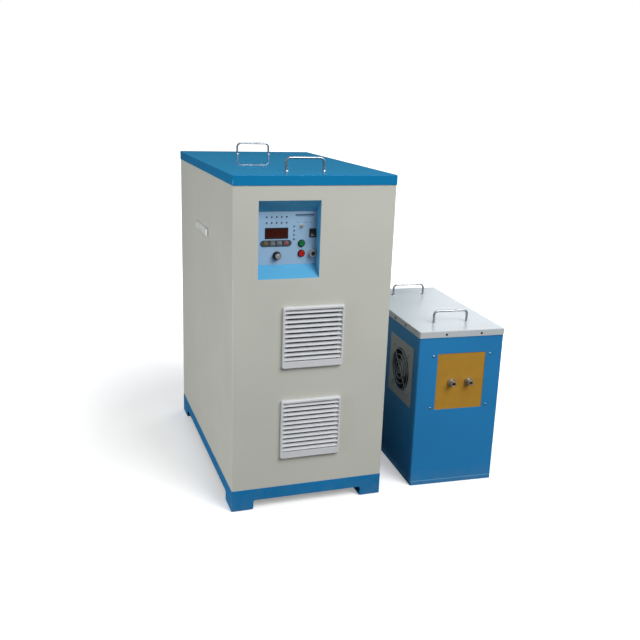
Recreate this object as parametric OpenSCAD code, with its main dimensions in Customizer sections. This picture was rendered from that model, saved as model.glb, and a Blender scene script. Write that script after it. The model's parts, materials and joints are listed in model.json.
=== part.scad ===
// Intermediate frequency generator: a tall cabinet and its small heat station.
// The cabinet has a lift-off lid, a recessed control pan and two louvred fan
// grilles; the station carries the output terminals. Millimetres, +Z up, fronts
// face -Y. The origin lies on the floor under the middle of the whole set.

/* [Cabinet body] */
// Width of the cabinet across its side panels
cab_w = 528; // [500:4:600]
// Depth of the cabinet from front face to rear face
cab_d = 932; // [860:4:1040]
// Height of the body that shows between plinth and lid
cab_show_h = 999; // [960:1:1100]
// Thickness of the folded steel sheet
sheet = 2; // [1.5:0.5:2.5]
// Width of the flanges folded inwards round each panel
flange = 18; // [14:1:24]
// Outside radius of the folded corners
corner_r = 4; // [3:0.5:6]
// How far the front and rear panels wrap round onto the sides
wrap = 10; // [8:1:14]

/* [Plinth] */
// Height of the plinth with its feet
plinth_h = 74; // [60:1:100]
// Thickness of the plinth's sheet
plinth_sheet = 3; // [2:0.5:4]
// Width of a foot seen from the front
foot_w = 75; // [60:1:100]
// Length of a foot seen from the side
foot_d = 90; // [70:1:120]
// Height of the arches between the feet
arch_h = 33; // [25:1:40]

/* [Cabinet lid] */
// Height of the lid's skirt
lid_h = 31; // [26:1:40]
// How far the lid stands out past the body on each side
lid_over = 2; // [2:0.25:4]
// Thickness of the lid's sheet
lid_sheet = 1.5; // [1:0.25:1.75]

/* [Handles] */
// Distance between the two legs of a D handle
handle_centres = 126; // [100:1:160]
// Diameter of a D handle's rod
handle_rod = 8; // [6:0.5:12]
// Height of a D handle above its lid
handle_h = 45; // [36:1:60]
// Distance of the cabinet lid's handles from its front and rear edges
handle_inset = 130; // [80:1:160]

/* [Side grips] */
// Length of the long cup grip on each side
grip_l = 190; // [160:1:220]
// Height of a cup grip's face
grip_h = 26; // [24:1:34]
// How far a cup grip stands out from the side panel
grip_proud = 10; // [8:1:14]
// Distance of the grips' middle below the lid's lower edge
grip_drop = 203; // [170:1:290]

/* [Grilles and fans] */
// Width and height of a louvred filter grille
grille_size = 204; // [190:1:220]
// How far a grille stands out from the front panel
grille_proud = 12; // [10:0.5:16]
// Number of louvre slats in a grille
slat_count = 11; // [8:1:12]
// Place of the upper grille's middle, as a share of the body's height
grille_high_share = 0.5185; // [0.47:0.0005:0.535]
// Place of the lower grille's middle, as a share of the body's height
grille_low_share = 0.2042; // [0.15:0.0002:0.225]
// Width and height of a fan's housing
fan_size = 162; // [158:1:165]
// Depth of a fan's housing
fan_depth = 55; // [45:1:70]
// Diameter of a fan's air duct
fan_bore = 152; // [140:1:154]
// Number of blades on a fan's rotor
blade_count = 7; // [5:1:9]

/* [Control pan] */
// Width of the opening of the control pan
pan_w = 199; // [190:1:230]
// Height of the opening of the control pan
pan_h = 243; // [236:1:260]
// Depth of the pan behind the front panel
pan_depth = 38; // [30:1:50]
// Sideways place of the pan's middle
pan_x = -85; // [-120:1:120]
// Distance of the pan's middle below the lid's lower edge
pan_drop = 167.5; // [145:0.5:180]
// Width of the display window
display_w = 72; // [60:1:76]
// Height of the display window
display_h = 32; // [26:1:34]
// Length of the strip that holds the keys
key_strip_l = 101; // [90:1:104]
// Height of the strip that holds the keys
key_strip_h = 20; // [18:1:22]
// Diameter of the set knob's skirt
knob_d = 26.5; // [20:0.5:30]
// Diameter of the start and stop buttons
button_d = 18.5; // [16:0.5:20]
// Outer diameter of the ring round each button
button_ring_d = 23.5; // [23:0.5:26]
// Travel of the start and stop buttons
button_travel = 3.5; // [2:0.5:5]
// Travel of a key in the strip
key_travel = 1.2; // [0.8:0.1:1.5]
// Angle between the two positions of the rocker switch
rocker_throw = 14; // [10:1:16]
// Angle between the two positions of the toggle
toggle_throw = 24; // [16:1:26]

/* [Heat station] */
// Width of the heat station
station_w = 314; // [300:2:360]
// Depth of the heat station
station_d = 620; // [560:2:700]
// Height of the heat station with its lid
station_h = 574; // [560:2:640]
// Height of the station lid's skirt
station_lid_h = 22.5; // [18:0.5:26]
// Gap between the cabinet's side and the station's front corner
station_gap = 128; // [60:1:200]
// How far the station's front corner stands behind the cabinet's face
station_back = 18; // [0:1:80]
// Turn of the station on the floor, seen from above
station_yaw = -3.2; // [-8:0.1:0]
// Width of the window for the terminal board
window_w = 180; // [160:1:190]
// Height of the window for the terminal board
window_h = 206; // [180:1:220]
// Distance of the window's middle below the station's top
window_drop = 185; // [175:1:200]
// Distance between the two output terminals
terminal_pitch = 65; // [50:1:80]
// Outer diameter of an output terminal's tube
terminal_d = 18; // [14:0.5:22]
// Bore of an output terminal's tube
terminal_bore = 10; // [8:0.5:12]
// Width and height of the plate that carries the station's fan
fan_plate_size = 220; // [200:1:230]

/* [Hidden] */
// Sheet-metal slip between two folded parts, and air round a moving part
slip = 0.5;
air = 0.3;
// Gap round a fixed part set in its hole
seat_gap = 0.1;
// Radial clearance of a shaft turning in its bore, and overrun of every cut
running = 0.05;
over = 1;
// Sides of a hexagon, and the cosine of its half corner angle
hex_sides = 6;
hex_share = 0.866;
$fn = 48;

panel_h = cab_show_h + lid_h - lid_sheet;
panel_top_z = plinth_h + panel_h;
lid_z = plinth_h + cab_show_h;
inner_x = cab_w / 2 - sheet;

// Heights that follow the body or hang from its lid
grip_z = lid_z - grip_drop;
pan_z = lid_z - pan_drop;
grille_high_z = plinth_h + grille_high_share * cab_show_h;
grille_low_z = plinth_h + grille_low_share * cab_show_h;
window_z = station_h - window_drop;

// Plinth
plinth_proud = 1;
plinth_ledge = 22;
arch_r = 7;

// Joggled tongue behind each wrap, and where its rounded corner ends
tongue_land = 8;

// Rear panel: vents, fittings and the board for the link terminals
vent_w = 100;
vent_h = 7;
vent_pitch = 20;
vent_rows = 12;
vent_columns_x = [-75, 75];
vent_drop = 313;
vent_z = lid_z - vent_drop;
gland_d = 30;
gland_bore = 16;
gland_x = -150;
gland_z = 180;
gland_pitch = 60;
gland_nut_d = 36;
gland_nut_t = 6;
gland_dome = 20;
water_x = 150;
water_z = 180;
water_pitch = 70;
nipple_d = 16;
nipple_tip_d = 14;
nipple_bore = 9;
nipple_l = 34;
nipple_rib = 5;
nipple_ribs = 4;
nipple_hex_d = 26;
nipple_hex_t = 8;
manifold_w = 110;
manifold_h = 34;
manifold_t = 30;
link_board_w = 200;
link_board_h = 120;
link_board_t = 10;
link_z = 400;
link_edge = 15;
link_pitch = 90;
stud_d = 12;
stud_l = 32;
stud_nut_d = 22;
stud_nut_t = 10;
stud_pad_d = 32;
stud_pad_t = 4;
earth_x = 0;
earth_z = 130;
earth_d = 8;
earth_l = 24;
rear_reach = nipple_hex_t + nipple_l;

// D handle
handle_bend_r = 14;
handle_collar_d = 15;
handle_collar_t = 2;
handle_stud_d = 6;
handle_nut_d = 13;
handle_nut_t = 5;

// Side grip: a cup behind the skin and a hood over its upper part
grip_wall = 2.5;
grip_lip = 4;
grip_cup_depth = 26;

// Grille: bevelled face, plain band under the slats, collar through the panel
grille_bevel = 4;
grille_side = 9;
grille_top = 9;
grille_band = 24;
grille_rim_t = 2;
slat_t = 2.6;
slat_lip_d = 3.2;
slat_drop_share = 0.62;
collar_size = 176;
collar_t = 2.5;
collar_l = 20;
cutout_r = 6;
mat_t = 12;

// Fan: flanges, duct, struts, motor and rotor
fan_flange_t = 4;
fan_duct_wall = 3;
fan_corner_r = 5;
fan_screw_inset = 8;
fan_screw_d = 4.5;
fan_adapter_t = 3;
fan_hub_d = 58;
fan_hub_wall = 2.5;
fan_motor_d = 50;
fan_motor_h = 30;
fan_strut_w = 7;
fan_strut_t = 4;
fan_shaft_d = 6;
fan_bush_d = 14;
fan_bush_h = 14;
fan_tip_gap = 2;
blade_t = 2;
blade_camber_r = 48;
blade_arc = 44;
blade_pitch = 42;
rotor_h = 38;
rotor_front = 6;

// Control pan and what is set in its panel, from the panel's middle
pan_lip = 12;
panel_t = 2;
panel_flat_h = pan_h - 2 * pan_depth;
panel_y = sheet + pan_depth;
diagonal = sqrt(2);
display_x = -31;
display_z = 15.5;
display_proud = 1;
display_r = 1.5;
strip_x = -32.5;
strip_z = -16;
strip_proud = 1.6;
key_w = 15;
key_h = 13;
key_r = 2;
key_proud = 1.2;
key_pitch = 22;
key_count = 4;
knob_x = -29.5;
knob_z = -54.5;
knob_h = 15;
knob_cap_d = 17;
knob_cap_h = 3;
knob_skirt_h = 4;
knob_waist_d = 21;
knob_ribs = 18;
knob_rib_d = 1.6;
knob_lift = 1.5;
pot_d = 24;
pot_h = 11;
pot_shaft_d = 6;
pot_bush_d = 10;
pot_nut_d = 14;
pot_nut_t = 1.2;
button_x = 51;
start_z = -17.5;
stop_z = -49.5;
button_ring_t = 3;
button_proud = 7;
button_cap_h = 11;
button_body_d = 22;
button_body_l = 30;
button_stem_d = 8;
button_stem_l = 12;
button_guide_t = 5;
button_nut_t = 4;
button_nut_d = 27;
toggle_x = 51;
toggle_z = 38.5;
toggle_bush_d = 9;
toggle_bush_l = 5;
toggle_bore_d = 5.4;
toggle_ball_d = 4.8;
toggle_pin_d = 1.6;
toggle_pin_l = 7.4;
toggle_lever_d = 2.4;
toggle_tip_d = 3.4;
toggle_lever_l = 14;
toggle_nut_d = 12;
toggle_nut_t = 2;
toggle_box_w = 13;
toggle_box_h = 9;
toggle_box_l = 14;
rocker_x = 86.5;
rocker_z = 14.5;
rocker_frame_w = 21.5;
rocker_frame_h = 28;
rocker_frame_t = 2;
rocker_wall = 3;
rocker_body_l = 18;
rocker_floor = 3;
rocker_pin_d = 3;
rocker_pin_in = 1.5;
rocker_pivot = 5;
rocker_top = 3.4;
rocker_end = 5;
socket_x = 86;
socket_z = -49.5;
socket_d = 20;
socket_flange_d = 24;
socket_flange_t = 3;
socket_l = 16;
socket_bore = 15;
socket_face_in = 3;
socket_pin_d = 1.6;
socket_pins = 5;
socket_pin_ring_d = 9;
socket_tail_d = 17;
socket_tail_l = 14;
lamp_d = 5;
lamp_dome_d = 4.6;
lamp_proud = 0.8;
lamp_tail = 4;
lamp_columns = 5;
lamp_left_x = -63;
lamp_pitch_x = 16;
lamp_rows_z = [66.5, 48.5];
lamp_side_x = 26;
lamp_side_z = 36.5;
lamp_side_pitch = 13.5;
lamp_side_count = 4;

// Control board behind the panel
board_w = 122;
board_h = 150;
board_t = 1.6;
board_x = -33;
board_gap = 18;
post_d = 7;
post_inset = 6;
digit_w = 66;
digit_h = 26;
digit_in = 3;
tact_d = 6;
chip_w = 26;
chip_h = 14;
chip_t = 4;
plug_w = 12;
plug_h = 40;
plug_t = 10;

// Equipment inside the cabinet
plate_y = 470;
plate_h = 760;
plate_t = 2.5;
plate_foot = 30;
plate_shelf_z = 690;
plate_shelf_d = 190;
cold_w = 320;
cold_h = 420;
cold_t = 26;
cold_z = 230;
cold_pipe_d = 12;
cold_pipe_l = 40;
cold_pipe_pitch = 60;
module_w = 106;
module_h = 62;
module_t = 30;
module_rows = 4;
module_gap = 36;
module_base_t = 6;
module_stud_d = 9;
module_stud_h = 5;
can_d = 76;
can_h = 140;
can_pitch = 92;
can_rows = 2;
can_columns = 4;
can_stud_d = 10;
can_stud_h = 8;
can_stud_pitch = 32;
can_band_t = 3;
choke_w = 190;
choke_d = 130;
choke_h = 210;
choke_limb = 44;
choke_coil = 34;
choke_y = 640;
choke_foot = 20;
choke_foot_t = 4;
contactor_w = 110;
contactor_h = 130;
contactor_t = 100;
contactor_step = 22;
contactor_z = 420;
contactor_poles = 3;
contactor_slot = 10;

// Heat station sheets, window and board
station_sheet = 1.5;
station_r = 3;
station_flange = 14;
station_lid_over = 0.8;
station_lid_sheet = 1.2;
station_pan_h = 14;
station_lid_z = station_h - station_lid_h;
station_top_z = station_h - station_lid_sheet;
window_x = 4.5;
board_margin = 26;
station_board_t = 12;
board_screw_x = 106.5;
board_screw_z = 95;
board_screw_d = 5;
screw_head_d = 9;
screw_head_t = 2.5;
screw_tail = 6;
lid_screw_front_x = [-60, 71];
lid_screw_side_y = [130, 229, 391, 490];
lid_screw_drop = 12;
lid_screw_d = 4;
lid_screw_head_d = 8;
terminal_l = 18;
terminal_hex_d = 30;
terminal_hex_t = 6;
terminal_drop = 3;
terminal_root_l = 60;
station_handle_front = 108;
station_handle_rear = 108;

// Station fan on the left side
fan_y = 154;
fan_drop = 184;
fan_z = station_h - fan_drop;
fan_hole_r = 78;
fan_plate_t = 2;
guard_wire = 2.5;
guard_rings = 4;
guard_ring_first_r = 14;
guard_ring_step_r = 20;
guard_spokes = 4;
guard_spoke_wire = 3;
guard_eye_d = 10;
guard_turn = 45;

// Equipment inside the station
trafo_w = 180;
trafo_d = 170;
trafo_h = 190;
trafo_y = 60;
trafo_leg = 38;
trafo_coil = 30;
stand_w = 30;
tank_w = 120;
tank_d = 70;
tank_h = 150;
tank_count = 3;
tank_gap = 16;
tank_y = 300;
tank_stud_d = 14;
tank_stud_h = 16;
station_water_z = 130;
station_water_pitch = 60;
station_link_drop = 214;
station_link_z = station_h - station_link_drop;
station_link_w = 150;
station_link_h = 90;
station_link_pitch = 70;
station_link_edge = 12;

// Places of the two boxes, from the middle of the set's own box
station_corner_x = cab_w / 2 + station_gap;
set_low_x = -cab_w / 2 - grip_proud;
set_high_x = station_corner_x + station_w * cos(station_yaw) - station_d * sin(station_yaw);
cab_x = -(set_low_x + set_high_x) / 2;
cab_y = (grille_proud - cab_d - rear_reach) / 2;

// Places

module at_cabinet() translate([cab_x, cab_y, 0]) children();

// Station frame: x from its middle, y from its front face
module at_station() {
    translate([cab_x + station_corner_x, cab_y + station_back, 0])
        rotate(station_yaw)
            translate([station_w / 2, 0, 0]) children();
}

module at_panel() at_cabinet() translate([pan_x, panel_y, pan_z]) children();

module at_fan_wall() at_station() translate([-station_w / 2, fan_y, fan_z]) children();

// Shapes that several pieces share

// Outline drawn in x and z, made a plate from y = 0 to y = t
module upright(t) translate([0, t, 0]) rotate([90, 0, 0]) linear_extrude(t) children();

// Outline drawn in y and z, made a plate from x = 0 to x = t
module sideways(t) rotate([90, 0, 90]) linear_extrude(t) children();

// Axis of a turned shape laid along +y
module along_y() rotate([-90, 0, 0]) children();

// Axis of a turned shape laid along +x
module along_x() rotate([0, 90, 0]) children();

module rounded_rect(w, h, r) {
    square([w - 2 * r, h], center = true);
    square([w, h - 2 * r], center = true);
    for (x = [-1, 1], y = [-1, 1])
        translate([x * (w / 2 - r), y * (h / 2 - r)]) circle(r);
}

module pill(l, h) {
    square([l - h, h], center = true);
    for (x = [-1, 1]) translate([x * (l - h) / 2, 0]) circle(d = h);
}

module tube(h, d, bore) {
    difference() {
        cylinder(h = h, d = d);
        translate([0, 0, -over]) cylinder(h = h + 2 * over, d = bore);
    }
}

module hexagon(h, across) cylinder(h = h, d = across / hex_share, $fn = hex_sides);

// Block with a bevel round its front face, from y = -h to y = 0
module bevelled_block(w, h, t, bevel) {
    intersection() {
        translate([0, 0, -h / 2]) linear_extrude(h) bevel_outline(w, t, bevel);
        rotate([0, 90, 0]) translate([0, 0, -w / 2])
            linear_extrude(w) bevel_outline(h, t, bevel);
    }
}

module bevel_outline(w, t, bevel) {
    polygon([
        [-w / 2, 0], [-w / 2, bevel - t], [bevel - w / 2, -t],
        [w / 2 - bevel, -t], [w / 2, bevel - t], [w / 2, 0]
    ]);
}

// Outline of the cabinet seen from above, grown on every side
module body_outline(grow) {
    translate([0, cab_d / 2])
        rounded_rect(cab_w + 2 * grow, cab_d + 2 * grow, corner_r + grow);
}

// Plinth and floor

// Arch between two feet: round at the top, flared where it meets the floor
module arch(w) {
    translate([0, (arch_h - arch_r) / 2]) square([w, arch_h - arch_r], center = true);
    translate([0, arch_h / 2]) square([w - 2 * arch_r, arch_h], center = true);
    for (x = [-1, 1]) translate([x * (w / 2 - arch_r), arch_h - arch_r]) circle(arch_r);
    difference() {
        translate([0, arch_r / 2]) square([w + 2 * arch_r, arch_r], center = true);
        for (x = [-1, 1]) translate([x * (w / 2 + arch_r), arch_r]) circle(arch_r);
    }
    translate([0, -over / 2]) square([w + 2 * arch_r, over], center = true);
}

module plinth() at_cabinet() color("#0f5f90") {
    difference() {
        union() {
            difference() {
                linear_extrude(plinth_h) body_outline(plinth_proud);
                translate([0, 0, -over]) linear_extrude(plinth_h - plinth_sheet + over)
                    body_outline(plinth_proud - plinth_sheet);
            }
            linear_extrude(plinth_sheet) foot_pads();
        }
        translate([0, 0, plinth_h - plinth_sheet - over])
            linear_extrude(plinth_sheet + 2 * over)
                translate([0, cab_d / 2])
                    square([cab_w - 2 * plinth_ledge, cab_d - 2 * plinth_ledge], center = true);
        translate([0, -plinth_proud - over, 0]) upright(cab_d + 2 * (plinth_proud + over))
            arch(cab_w + 2 * plinth_proud - 2 * foot_w);
        translate([-cab_w / 2 - plinth_proud - over, cab_d / 2, 0])
            sideways(cab_w + 2 * (plinth_proud + over))
                arch(cab_d + 2 * plinth_proud - 2 * foot_d);
    }
}

module foot_pads() {
    intersection() {
        body_outline(plinth_proud);
        for (x = [-1, 1], y = [-1, 1])
            translate([
                x * (cab_w - foot_w + plinth_proud) / 2 + x * plinth_sheet / 2,
                cab_d / 2 + y * (cab_d - foot_d + plinth_proud) / 2 + y * plinth_sheet / 2
            ]) square([foot_w, foot_d], center = true);
    }
}

module floor_tray() at_cabinet() color("#9a9d98") {
    translate([0, cab_d / 2, plinth_h + sheet]) linear_extrude(sheet)
        rounded_rect(2 * (inner_x - slip), cab_d - 2 * (sheet + slip), corner_r - sheet);
}

// Cabinet panels

// Sheet with its sides wrapped round the corners and flanges above and below
module end_sheet() {
    translate([0, 0, plinth_h]) linear_extrude(panel_h) difference() {
        body_outline(0);
        translate([0, cab_d / 2])
            rounded_rect(2 * inner_x, cab_d - 2 * sheet, corner_r - sheet);
        translate([-cab_w, wrap]) square([2 * cab_w, cab_d]);
    }
    for (z = [plinth_h, panel_top_z - sheet])
        translate([0, 0, z]) linear_extrude(sheet) intersection() {
            body_outline(0);
            translate([-inner_x, 0]) square([2 * inner_x, flange]);
        }
}

module front_panel() at_cabinet() color("#afb0a8") {
    difference() {
        end_sheet();
        translate([0, -over, 0]) upright(sheet + 2 * over) {
            translate([pan_x, pan_z]) square([pan_w, pan_h], center = true);
            for (z = [grille_high_z, grille_low_z]) translate([0, z])
                rounded_rect(collar_size + 2 * slip, collar_size + 2 * slip, cutout_r);
        }
    }
}

module rear_panel() at_cabinet() color("#a9aaa2") {
    difference() {
        translate([0, cab_d, 0]) mirror([0, 1, 0]) end_sheet();
        translate([0, cab_d - sheet - over, 0]) upright(sheet + 2 * over) {
            for (x = vent_columns_x, i = [0 : vent_rows - 1])
                translate([x, vent_z + i * vent_pitch]) pill(vent_w, vent_h);
            for (x = [0, 1]) translate([gland_x + x * gland_pitch, gland_z])
                circle(d = gland_d + 2 * seat_gap);
            for (x = [-1, 1])
                translate([water_x + x * water_pitch / 2, water_z])
                    circle(d = nipple_d + 2 * air);
            translate([0, link_z])
                square([link_board_w - 2 * link_edge, link_board_h - 2 * link_edge], center = true);
            translate([earth_x, earth_z]) circle(d = earth_d + 2 * air);
        }
    }
}

module side_sheet() {
    difference() {
        union() {
            translate([-cab_w / 2, wrap, plinth_h]) cube([sheet, cab_d - 2 * wrap, panel_h]);
            for (z = [plinth_h, panel_top_z - sheet])
                translate([-cab_w / 2, flange, z]) cube([flange, cab_d - 2 * flange, sheet]);
            for (y = [corner_r, cab_d - wrap - tongue_land])
                translate([-inner_x, y, plinth_h + 2 * sheet + slip])
                    cube([
                        sheet, wrap + tongue_land - corner_r,
                        panel_h - 3 * sheet - 2 * slip
                    ]);
        }
        translate([-cab_w / 2 - over, cab_d / 2, grip_z]) sideways(2 * sheet)
            square([grip_l - 2 * grip_lip, grip_h - 2 * grip_lip], center = true);
    }
}

module left_side_panel() at_cabinet() color("#aeb0ab") side_sheet();

module right_side_panel() at_cabinet() color("#aeb0ab") mirror([1, 0, 0]) side_sheet();

// Cabinet lid and handles

module top_lid() at_cabinet() color("#1c7ab0") {
    difference() {
        translate([0, 0, lid_z]) linear_extrude(lid_h) body_outline(lid_over);
        translate([0, 0, lid_z - over]) linear_extrude(lid_h - lid_sheet + over)
            body_outline(lid_over - lid_sheet);
        lid_handle_places() handle_holes();
    }
}

module lid_handle_places() {
    for (y = [handle_inset - lid_over, cab_d + lid_over - handle_inset])
        translate([0, y, lid_z + lid_h]) children();
}

module handle_holes() {
    for (x = [-1, 1]) translate([x * handle_centres / 2, 0, -2 * sheet])
        cylinder(h = 3 * sheet, d = handle_stud_d + 2 * air);
}

// D handle on a sheet of thickness t, standing on z = 0
module d_handle(t) {
    arm_h = handle_h - handle_rod / 2 - handle_bend_r;
    reach = handle_centres / 2;
    for (x = [-1, 1]) {
        translate([x * reach, 0, 0]) cylinder(h = arm_h, d = handle_rod);
        translate([x * reach, 0, 0]) cylinder(h = handle_collar_t, d = handle_collar_d);
        translate([x * reach, 0, -t - handle_nut_t]) {
            cylinder(h = t + handle_nut_t, d = handle_stud_d);
            hexagon(handle_nut_t, handle_nut_d);
        }
    }
    translate([reach - handle_bend_r, 0, arm_h]) handle_bend();
    mirror([1, 0, 0]) translate([reach - handle_bend_r, 0, arm_h]) handle_bend();
    translate([handle_bend_r - reach, 0, handle_h - handle_rod / 2])
        along_x() cylinder(h = handle_centres - 2 * handle_bend_r, d = handle_rod);
}

module handle_bend() {
    rotate([90, 0, 0]) rotate_extrude(angle = 90)
        translate([handle_bend_r, 0]) circle(d = handle_rod);
}

module lid_handles() at_cabinet() color("silver") lid_handle_places() d_handle(lid_sheet);

// Side grips

// Bevelled face outside the skin, hollow cup behind it, open to the fingers from below
module side_grip() {
    cup_h = grip_h - 2 * grip_lip - 2 * slip;
    cup_l = grip_l - 2 * grip_lip - 2 * slip;
    hood_in = grip_proud - grip_wall;
    translate([-cab_w / 2, cab_d / 2, grip_z]) difference() {
        union() {
            rotate(-90) bevelled_block(grip_l, grip_h, grip_proud, grip_proud / 2);
            translate([-over, -cup_l / 2, -cup_h / 2]) cube([grip_cup_depth + over, cup_l, cup_h]);
        }
        // mouth of the cup, open to the side under the hood
        translate([-hood_in, grip_wall - cup_l / 2, grip_wall - cup_h / 2])
            cube([
                hood_in + grip_cup_depth - grip_wall,
                cup_l - 2 * grip_wall, cup_h - 2 * grip_wall
            ]);
        // finger way from below, behind the hood's lower edge
        translate([-hood_in, grip_wall - cup_l / 2, -grip_h])
            cube([hood_in - over, cup_l - 2 * grip_wall, grip_h]);
    }
}

module side_grip_left() at_cabinet() color("#d2d3ce") side_grip();

module side_grip_right() at_cabinet() color("#d2d3ce") mirror([1, 0, 0]) side_grip();

// Grilles, mats and fans

module grille() {
    slats_h = grille_size - grille_top - grille_band;
    slat_pitch = slats_h / slat_count;
    slats_w = grille_size - 2 * grille_side;
    middle_z = (grille_band - grille_top) / 2;
    slat_lift = (slat_pitch * (1 - slat_drop_share) - slat_t) / 2;
    difference() {
        bevelled_block(grille_size, grille_size, grille_proud, grille_bevel);
        translate([0, -grille_proud - over, middle_z])
            upright(grille_proud + over - grille_rim_t) square([slats_w, slats_h], center = true);
        translate([0, -grille_proud, middle_z]) upright(grille_proud + over)
            square([collar_size - 2 * collar_t, slats_h], center = true);
    }
    for (i = [0 : slat_count - 1])
        translate([-slats_w / 2, 0, middle_z - slats_h / 2 + slat_lift + i * slat_pitch])
            slat(slats_w, slat_pitch);
    difference() {
        upright(collar_l) rounded_rect(collar_size, collar_size, cutout_r);
        translate([0, -over, 0]) upright(collar_l + 2 * over) rounded_rect(
            collar_size - 2 * collar_t, collar_size - 2 * collar_t, cutout_r - collar_t
        );
    }
}

// One slat: slopes down to the front and ends in a round lip
module slat(l, pitch) {
    drop = pitch * slat_drop_share;
    front = slat_lip_d / 2 - grille_proud + slat_t / 2;
    sideways(l) {
        polygon([
            [0, drop], [0, drop + slat_t], [front, slat_lip_d], [front, 0]
        ]);
        translate([front, slat_lip_d / 2]) circle(d = slat_lip_d);
    }
}

module at_grille(z) at_cabinet() translate([0, 0, z]) children();

module grille_upper() at_grille(grille_high_z) color("#d9dadd") grille();

module grille_lower() at_grille(grille_low_z) color("#d9dadd") grille();

module filter_mats() for (z = [grille_high_z, grille_low_z]) at_grille(z) color("#4a4d50") {
    mat_size = collar_size - 2 * (collar_t + slip);
    upright(mat_t) rounded_rect(mat_size, mat_size, cutout_r - collar_t);
}

// Fan seen along its axis: air leaves towards +z, the front flange lies on z = 0
module fan_frame() {
    outer_d = fan_bore + 2 * fan_duct_wall;
    difference() {
        union() {
            for (z = [0, fan_depth - fan_flange_t]) translate([0, 0, z])
                linear_extrude(fan_flange_t) rounded_rect(fan_size, fan_size, fan_corner_r);
            cylinder(h = fan_depth, d = outer_d);
        }
        translate([0, 0, -over]) cylinder(h = fan_depth + 2 * over, d = fan_bore);
        for (x = [-1, 1], y = [-1, 1])
            translate([
                x * (fan_size / 2 - fan_screw_inset), y * (fan_size / 2 - fan_screw_inset), -over
            ]) cylinder(h = fan_depth + 2 * over, d = fan_screw_d);
    }
    difference() {
        union() {
            translate([0, 0, fan_depth - fan_strut_t]) {
                cylinder(h = fan_strut_t, d = fan_motor_d);
                for (a = [0, 90]) rotate(a)
                    linear_extrude(fan_strut_t)
                        square([fan_bore + fan_duct_wall, fan_strut_w], center = true);
            }
            translate([0, 0, fan_depth - fan_strut_t - fan_bush_h])
                cylinder(h = fan_bush_h + fan_strut_t, d = fan_bush_d);
            translate([0, 0, fan_depth - fan_strut_t - fan_motor_h]) difference() {
                cylinder(h = fan_motor_h, d = fan_motor_d);
                translate([0, 0, -over])
                    cylinder(
                        h = fan_motor_h - fan_strut_t + over, d = fan_motor_d - 3 * fan_strut_t
                    );
            }
        }
        translate([0, 0, fan_depth - fan_strut_t - fan_motor_h - over])
            cylinder(h = fan_motor_h + over, d = fan_shaft_d + 2 * running);
    }
}

// Rotor of the fan above: hub cup over the motor, shaft into the bush, curved blades
module fan_rotor() {
    cup_top = fan_depth - fan_strut_t - slip - fan_strut_t;
    translate([0, 0, rotor_front]) difference() {
        cylinder(h = cup_top - rotor_front, d = fan_hub_d);
        translate([0, 0, fan_hub_wall])
            cylinder(h = cup_top, d = fan_hub_d - 2 * fan_hub_wall);
    }
    translate([0, 0, rotor_front + fan_hub_wall - over / 2])
        cylinder(h = fan_depth - fan_strut_t - rotor_front - fan_hub_wall - over, d = fan_shaft_d);
    for (i = [0 : blade_count - 1]) rotate(i * 360 / blade_count) fan_blade();
}

module fan_blade() {
    reach = fan_bore / 2 - fan_tip_gap;
    start = fan_hub_d / 2 - fan_hub_wall / 2;
    intersection() {
        translate([start, 0, rotor_front + rotor_h / 2])
            rotate([0, 90, 0]) linear_extrude(reach)
                rotate(blade_pitch) translate([-blade_camber_r, 0]) difference() {
                    circle(blade_camber_r + blade_t / 2);
                    circle(blade_camber_r - blade_t / 2);
                    for (s = [-1, 1]) rotate(s * blade_arc / 2)
                        translate([-2 * blade_camber_r, 2 * (s - 1) * blade_camber_r])
                            square(4 * blade_camber_r);
                }
        cylinder(h = fan_depth, r = reach);
    }
}

module at_cabinet_fan(z) at_grille(z) translate([0, collar_l + fan_adapter_t, 0]) along_y() children();

module fan_housings() for (z = [grille_high_z, grille_low_z]) at_cabinet_fan(z) color("#2b2d30") {
    fan_frame();
    translate([0, 0, -fan_adapter_t]) linear_extrude(fan_adapter_t) difference() {
        square(collar_size, center = true);
        circle(d = fan_bore);
    }
}

module fan_rotor_upper() at_cabinet_fan(grille_high_z) color("#1c1d20") fan_rotor();

module fan_rotor_lower() at_cabinet_fan(grille_low_z) color("#1c1d20") fan_rotor();

// Control pan

module pan_outline(grow) {
    edge = grow * diagonal;
    translate([0, -pan_h / 2]) polygon([
        [0, -edge], [pan_depth, pan_depth - edge],
        [pan_depth, pan_h - pan_depth + edge], [0, pan_h + edge]
    ]);
}

module pan_hollow() {
    translate([0, -pan_h / 2]) polygon([
        [-over, -over], [pan_depth + over, pan_depth + over],
        [pan_depth + over, pan_h - pan_depth - over], [-over, pan_h + over]
    ]);
}

module control_recess() at_cabinet() translate([pan_x, sheet, pan_z]) color("#2b7fae") {
    difference() {
        union() {
            translate([-pan_w / 2 - sheet, 0, 0]) sideways(pan_w + 2 * sheet) pan_outline(sheet);
            upright(sheet) square([pan_w + 2 * pan_lip, pan_h + 2 * pan_lip], center = true);
            translate([0, pan_depth - sheet, 0]) upright(sheet)
                square([pan_w + 2 * pan_lip, panel_flat_h + 2 * pan_lip], center = true);
        }
        translate([-pan_w / 2, 0, 0]) sideways(pan_w) pan_hollow();
    }
}

module lamp_places() {
    for (i = [0 : lamp_columns - 1], z = lamp_rows_z)
        translate([lamp_left_x + i * lamp_pitch_x, 0, z]) children();
    for (i = [0 : lamp_side_count - 1])
        translate([lamp_side_x, 0, lamp_side_z - i * lamp_side_pitch]) children();
}

module key_places() {
    for (i = [0 : key_count - 1])
        translate([strip_x + (i - (key_count - 1) / 2) * key_pitch, 0, strip_z]) children();
}

module button_places() {
    for (z = [start_z, stop_z]) translate([button_x, 0, z]) children();
}

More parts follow.
